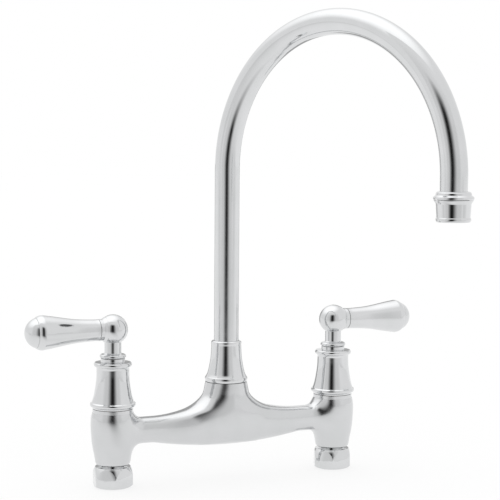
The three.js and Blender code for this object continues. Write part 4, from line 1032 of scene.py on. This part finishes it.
TUBE_RADIUS = 10.4
TUBE_WALL = 1.2
TUBE_SIDES = 64
BEND_STEPS = 144
OUTLET_DROP = 17.7

outlet_x, outlet_y = middle("outlet_collar", 0), middle("outlet_collar", 1)
reach = math.hypot(outlet_x, outlet_y)
spout_turn = turn_about("Z", math.degrees(math.atan2(outlet_y, outlet_x)))
bend_radius = reach / 2
bend_height = high("spout_tube") - TUBE_RADIUS - bend_radius
tube_bottom = low("spout_tube")
tube_end = bend_height - OUTLET_DROP


def spout_tube():
    """The bent tube as an outer and an inner shell, joined at both ends."""
    line = [(0, tube_bottom, 0)]
    for tilt in [0, *steps_between(0, math.pi, BEND_STEPS)]:
        across, up = bend_radius * (1 - math.cos(tilt)), bend_radius * math.sin(tilt)
        line.append((across, bend_height + up, tilt))
    line.append((reach, tube_end, math.pi))
    vertices, faces = [], []
    sides = TUBE_SIDES
    for radius in (TUBE_RADIUS, TUBE_RADIUS - TUBE_WALL):
        for x, z, tilt in line:
            for i in range(sides):
                angle = 2 * math.pi * i / sides
                out, y = radius * math.cos(angle), radius * math.sin(angle)
                vertices.append((x + out * math.cos(tilt), y, z - out * math.sin(tilt)))
    inner = len(line) * sides
    for shell in (0, inner):
        for a in range(shell, shell + inner - sides, sides):
            faces += band(a, a + sides, sides)
    for a in (0, inner - sides):
        faces += band(a, a + inner, sides)
    return polished(mesh_object("tube", vertices, faces))


FERRULE_BASE_RADIUS = 18.05
FERRULE_TOP_WIDTH = 2.3
FERRULE_THREAD_WALL = 3.6
FERRULE_RING_HEIGHT = 4.4


def spout_ferrule():
    foot, top = span("spout_ferrule")
    bottom = upstand_top + GAP
    bore = TUBE_RADIUS + GAP
    base, top_radius = FERRULE_BASE_RADIUS, TUBE_RADIUS + FERRULE_TOP_WIDTH
    thread_radius = TUBE_RADIUS + FERRULE_THREAD_WALL
    shape = Profile(bore, foot).lines((thread_radius, foot), (thread_radius, bottom))
    shape.line(base - 0.7, bottom)
    shape.curve(base, bottom + 0.9, base, bottom + 2.2)
    shape.curve(base, bottom + 3.6, base - 0.9, bottom + FERRULE_RING_HEIGHT)
    shape.smooth(
        (base - 2.6, bottom + 8.5), (top_radius + 0.7, bottom + 19.0), (top_radius - 0.1, top - 3.6)
    )
    shape.curve(top_radius + 0.2, top - 1.6, top_radius, top - 0.8)
    shape.lines((top_radius - 1.1, top), (bore, top)).close()
    return polished(turned("ferrule", shape))


COLLAR_RING_WIDTH = 4.89
COLLAR_SKIRT_WIDTH = 1.2
COLLAR_BORE_RADIUS = 8.4
HOUSING_TOP_WIDTH = 2.8
HOUSING_FOOT_WIDTH = 2.2
HOUSING_BEAD_WIDTH = 3.2
HOUSING_BEAD_HEIGHT = 3.4
HOUSING_LIP = 1.4
HOUSING_LIP_RADIUS = 9.6
AERATOR_HOLE_RADIUS = 1.25
AERATOR_HOLE_PITCH = 3.7
AERATOR_RINGS = 2  # of holes around the middle one


def outlet_collar():
    skirt_bottom, top = span("outlet_collar")
    ring = TUBE_RADIUS + COLLAR_RING_WIDTH
    skirt = TUBE_RADIUS + COLLAR_SKIRT_WIDTH
    bore = TUBE_RADIUS + GAP
    bottom = high("aerator_housing") + GAP
    shape = Profile(COLLAR_BORE_RADIUS, skirt_bottom).lines(
        (skirt, skirt_bottom), (skirt, bottom), (ring - 0.2, bottom)
    )
    shape.curve(ring + 0.2, bottom + 1.1, ring - 0.3, bottom + 2.0)
    shape.lines((ring - 1.9, bottom + 3.2), (ring - 2.1, bottom + 4.6))
    shape.curve(ring - 2.6, top - 0.2, bore + 0.4, top)
    shape.lines((bore, top), (bore, tube_end - GAP), (COLLAR_BORE_RADIUS, tube_end - GAP)).close()
    return polished(turned("collar", shape))


def aerator_housing():
    bottom, top = span("aerator_housing")
    aerator_top = high("aerator_insert")
    lip, lip_top = HOUSING_LIP_RADIUS, bottom + HOUSING_LIP
    ring = TUBE_RADIUS + COLLAR_RING_WIDTH
    upper = TUBE_RADIUS + HOUSING_TOP_WIDTH
    foot = TUBE_RADIUS + HOUSING_FOOT_WIDTH
    bead = TUBE_RADIUS + HOUSING_BEAD_WIDTH
    thread = TUBE_RADIUS + COLLAR_SKIRT_WIDTH + GAP
    chamber = TUBE_RADIUS + 2 * GAP
    shape = Profile(lip, bottom).line(bead - 1.3, bottom)
    shape.curve(bead + 0.3, bottom + 1.6, foot, bottom + HOUSING_BEAD_HEIGHT)
    shape.line(upper, top - 3.0)
    shape.curve(upper + 0.5, top - 2.0, ring - 0.6, top - 0.6)
    shape.lines((ring - 0.4, top), (thread, top), (thread, aerator_top), (chamber, aerator_top))
    shape.lines((chamber, lip_top), (lip, lip_top)).close()
    return polished(turned("housing", shape))


def aerator_insert():
    """A disc with a hexagonal pattern of round holes."""
    bottom, top = span("aerator_insert")
    insert = turned("insert", bar(TUBE_RADIUS + GAP, bottom, top))
    places = range(-AERATOR_RINGS, AERATOR_RINGS + 1)
    holes = []
    for q in places:
        for r in places:
            if abs(q + r) <= AERATOR_RINGS:
                hole = rod(AERATOR_HOLE_RADIUS, bottom - CUT, top + CUT, sides=24)
                x, y = AERATOR_HOLE_PITCH * (q + r / 2), AERATOR_HOLE_PITCH * r * math.sqrt(3) / 2
                holes.append(moved(hole, shift(x=x, y=y)))
    return polished(combine(insert, holes, "DIFFERENCE"))


at_outlet = spout_turn @ shift(x=reach)
pipe = moved(spout_tube(), spout_turn)
fit(pipe, "spout_pipe", "spout", "spout_tube", "polished_chrome", TUBE_CHROME)
fit(spout_ferrule(), "spout_cone", "base", "spout_ferrule", "polished_chrome", CONE_CHROME)
fit(moved(outlet_collar(), at_outlet), "outlet_ring", "spout", "outlet_collar", *CHROMED)
fit(moved(aerator_housing(), at_outlet), "outlet_housing", "spout", "aerator_housing", *CHROMED)
fit(moved(aerator_insert(), at_outlet), "outlet_insert", "spout", "aerator_insert", "nylon", NYLON)


# --- Floor, light and surroundings. Lengths are in metres here. ---

WHITE = (1.0, 1.0, 1.0, 1.0)
FLOOR_COLOUR = (0.9, 0.9, 0.9, 1.0)
FLOOR_ROUGHNESS = 0.8
FLOOR_SIZE = 8.0  # from the middle
FLOOR_GLOW = 0.8  # share of plain white in what the camera and the chrome see of the floor
FLOOR_PAINTED_SHADE = (0.0, 0.7)  # painted shade that only the chrome sees on the floor: how far in front the floor is white, and where it is as the wall
TENT_DISTANCE = 0.8  # from the faucet to the tent's front wall
TENT_YAW = math.radians(-27.5)
TENT_HALF_WIDTH = 1.3
TENT_HEIGHT = 2.0
OPENING_HALF_ANGLES = (math.radians(32), math.radians(3))  # where its dark starts and is full
OPENING_UP = (-0.3, 0.08, 0.6, 1.0)  # heights where its dark starts and is full, ebbs and ends
OPENING_STRENGTH = 0.015
WALL_STRENGTH = 0.76
WALL_EDGE_ACROSS, WALL_EDGE_UP = (0.6, 1.3), (0.3, 1.6)  # where it fades into the tent's sides
SKY_LOW, SKY_HIGH = 0.93, 1.5  # strengths of the tent's sides and of the light above
SKY_LEAN = (-0.2, 0.35, 1.0)  # the light above leans to the left and the back
SKY_RISE = (0.62, 1.1)  # how far towards it the light starts and is full
CARD_DISTANCE = 0.3
CARD_SPANS = ((-0.2, -0.03), (0.08, 0.16))  # behind the left handle and arm, and the right handle
CARD_HEIGHTS = (0.04, 0.26)
CARD_STRENGTH = 0.45


def plain_sheet(name, corners, material):
    """A flat sheet of the surroundings, turned to face the lens."""
    mesh = bpy.data.meshes.new(name)
    mesh.from_pydata(corners, [], [(0, 1, 2, 3)])
    sheet = new_object(name, mesh)
    mesh.materials.append(material)
    sheet.matrix_world = Matrix.Rotation(TENT_YAW, 4, "Z")
    return sheet


def upright_sheet(name, left, right, y, bottom, top, material):
    """An upright sheet that only reflections see."""
    corners = [(left, y, bottom), (right, y, bottom), (right, y, top), (left, y, top)]
    sheet = plain_sheet(name, corners, material)
    sheet.visible_camera = False
    sheet.visible_diffuse = False
    sheet.visible_shadow = False


def ramp(tree, value, start, end, least=0.0, most=1.0):
    """A smooth step of a value between two ends."""
    return mapped(tree, value, start, end, least, most, interpolation_type="SMOOTHSTEP")


def between(tree, share, first, second):
    """A number that goes from the first to the second as the share goes from 0 to 1."""
    return add(tree, "ShaderNodeMix", {"Factor": share, "A": first, "B": second}).outputs["Result"]


def white_glow(tree, strength):
    return add(tree, "ShaderNodeEmission", {"Color": WHITE, "Strength": strength}).outputs[0]


def set_surface(tree, shader):
    tree.links.new(shader, tree.nodes["Material Output"].inputs["Surface"])


def opening_share(tree, place):
    """How far into the tent's soft opening a direction from the faucet is, from 0 to 1."""
    ahead = math_node(tree, "MULTIPLY", place["Y"], -1.0)
    angle = math_node(tree, "ARCTAN2", place["X"], ahead)
    return ramp(tree, math_node(tree, "ABSOLUTE", angle, 0.0), *OPENING_HALF_ANGLES)


def make_floor():
    """A pale floor that the camera and the chrome see as white, apart from the shadow on it. For the
    chrome, painted shade darkens it towards the tent's front wall and its opening."""
    material, tree, shader = new_material("floor")
    shader.inputs["Base Color"].default_value = FLOOR_COLOUR
    shader.inputs["Roughness"].default_value = FLOOR_ROUGHNESS
    rays = add(tree, "ShaderNodeLightPath").outputs
    seen = math_node(tree, "ADD", rays["Is Camera Ray"], rays["Is Glossy Ray"])
    place = axes(tree, place_of(tree))
    opening = opening_share(tree, place)
    # Painted shade: for glossy rays the floor's glow is painted darker in front and towards the
    # opening.
    fade = ramp(tree, math_node(tree, "MULTIPLY", place["Y"], -1.0), *FLOOR_PAINTED_SHADE)
    fade = math_node(tree, "MULTIPLY", fade, rays["Is Glossy Ray"])
    strength = between(tree, fade, 1.0, between(tree, opening, WALL_STRENGTH, OPENING_STRENGTH))
    share = between(tree, math_node(tree, "MULTIPLY", opening, fade), FLOOR_GLOW, 1.0)
    share = math_node(tree, "MULTIPLY", seen, share)
    shaders = {0: share, 1: shader.outputs[0], 2: white_glow(tree, strength)}
    set_surface(tree, add(tree, "ShaderNodeMixShader", shaders).outputs[0])
    s = FLOOR_SIZE
    plain_sheet("floor", [(-s, -s, 0), (s, -s, 0), (s, s, 0), (-s, s, 0)], material)


def make_world():
    """White all round and brighter above, with plain white behind the faucet for the camera."""
    world = bpy.data.worlds.new("world")
    bpy.context.scene.world = world
    world.use_nodes = True
    tree = world.node_tree
    background = tree.nodes["Background"]
    background.inputs["Color"].default_value = WHITE
    place = add(tree, "ShaderNodeTexCoord").outputs["Generated"]
    lean = add(
        tree, "ShaderNodeVectorMath", {0: place, 1: SKY_LEAN}, operation="DOT_PRODUCT"
    ).outputs["Value"]
    above = ramp(tree, lean, *SKY_RISE, SKY_LOW, SKY_HIGH)
    rays = add(tree, "ShaderNodeLightPath").outputs
    strength = between(tree, rays["Is Camera Ray"], above, 1.0)
    tree.links.new(strength, background.inputs["Strength"])


def make_tent_front():
    """The front wall of a white tent, with the soft dark opening that the lens looks through."""
    material, tree, _ = new_material("tent_front")
    place = axes(tree, place_of(tree))
    start, full, ebb, end = OPENING_UP
    share = opening_share(tree, place)
    for first, last in ((start, full), (end, ebb)):
        share = math_node(tree, "MULTIPLY", share, ramp(tree, place["Z"], first, last))
    across = ramp(tree, math_node(tree, "ABSOLUTE", place["X"], 0.0), *WALL_EDGE_ACROSS)
    edge = math_node(tree, "MAXIMUM", across, ramp(tree, place["Z"], *WALL_EDGE_UP))
    strength = between(tree, share, between(tree, edge, WALL_STRENGTH, SKY_LOW), OPENING_STRENGTH)
    set_surface(tree, white_glow(tree, strength))
    w = TENT_HALF_WIDTH
    upright_sheet("tent_front", -w, w, -TENT_DISTANCE, 0, TENT_HEIGHT, material)


def make_edge_cards():
    """Grey cards standing low behind the faucet, which draw its upper edges."""
    material, tree, _ = new_material("edge_card")
    set_surface(tree, white_glow(tree, CARD_STRENGTH))
    for i, (left, right) in enumerate(CARD_SPANS):
        upright_sheet(f"edge_card_{i + 1}", left, right, CARD_DISTANCE, *CARD_HEIGHTS, material)


make_floor()
make_world()
make_tent_front()
make_edge_cards()

bpy.context.scene.view_settings.view_transform = "Standard"
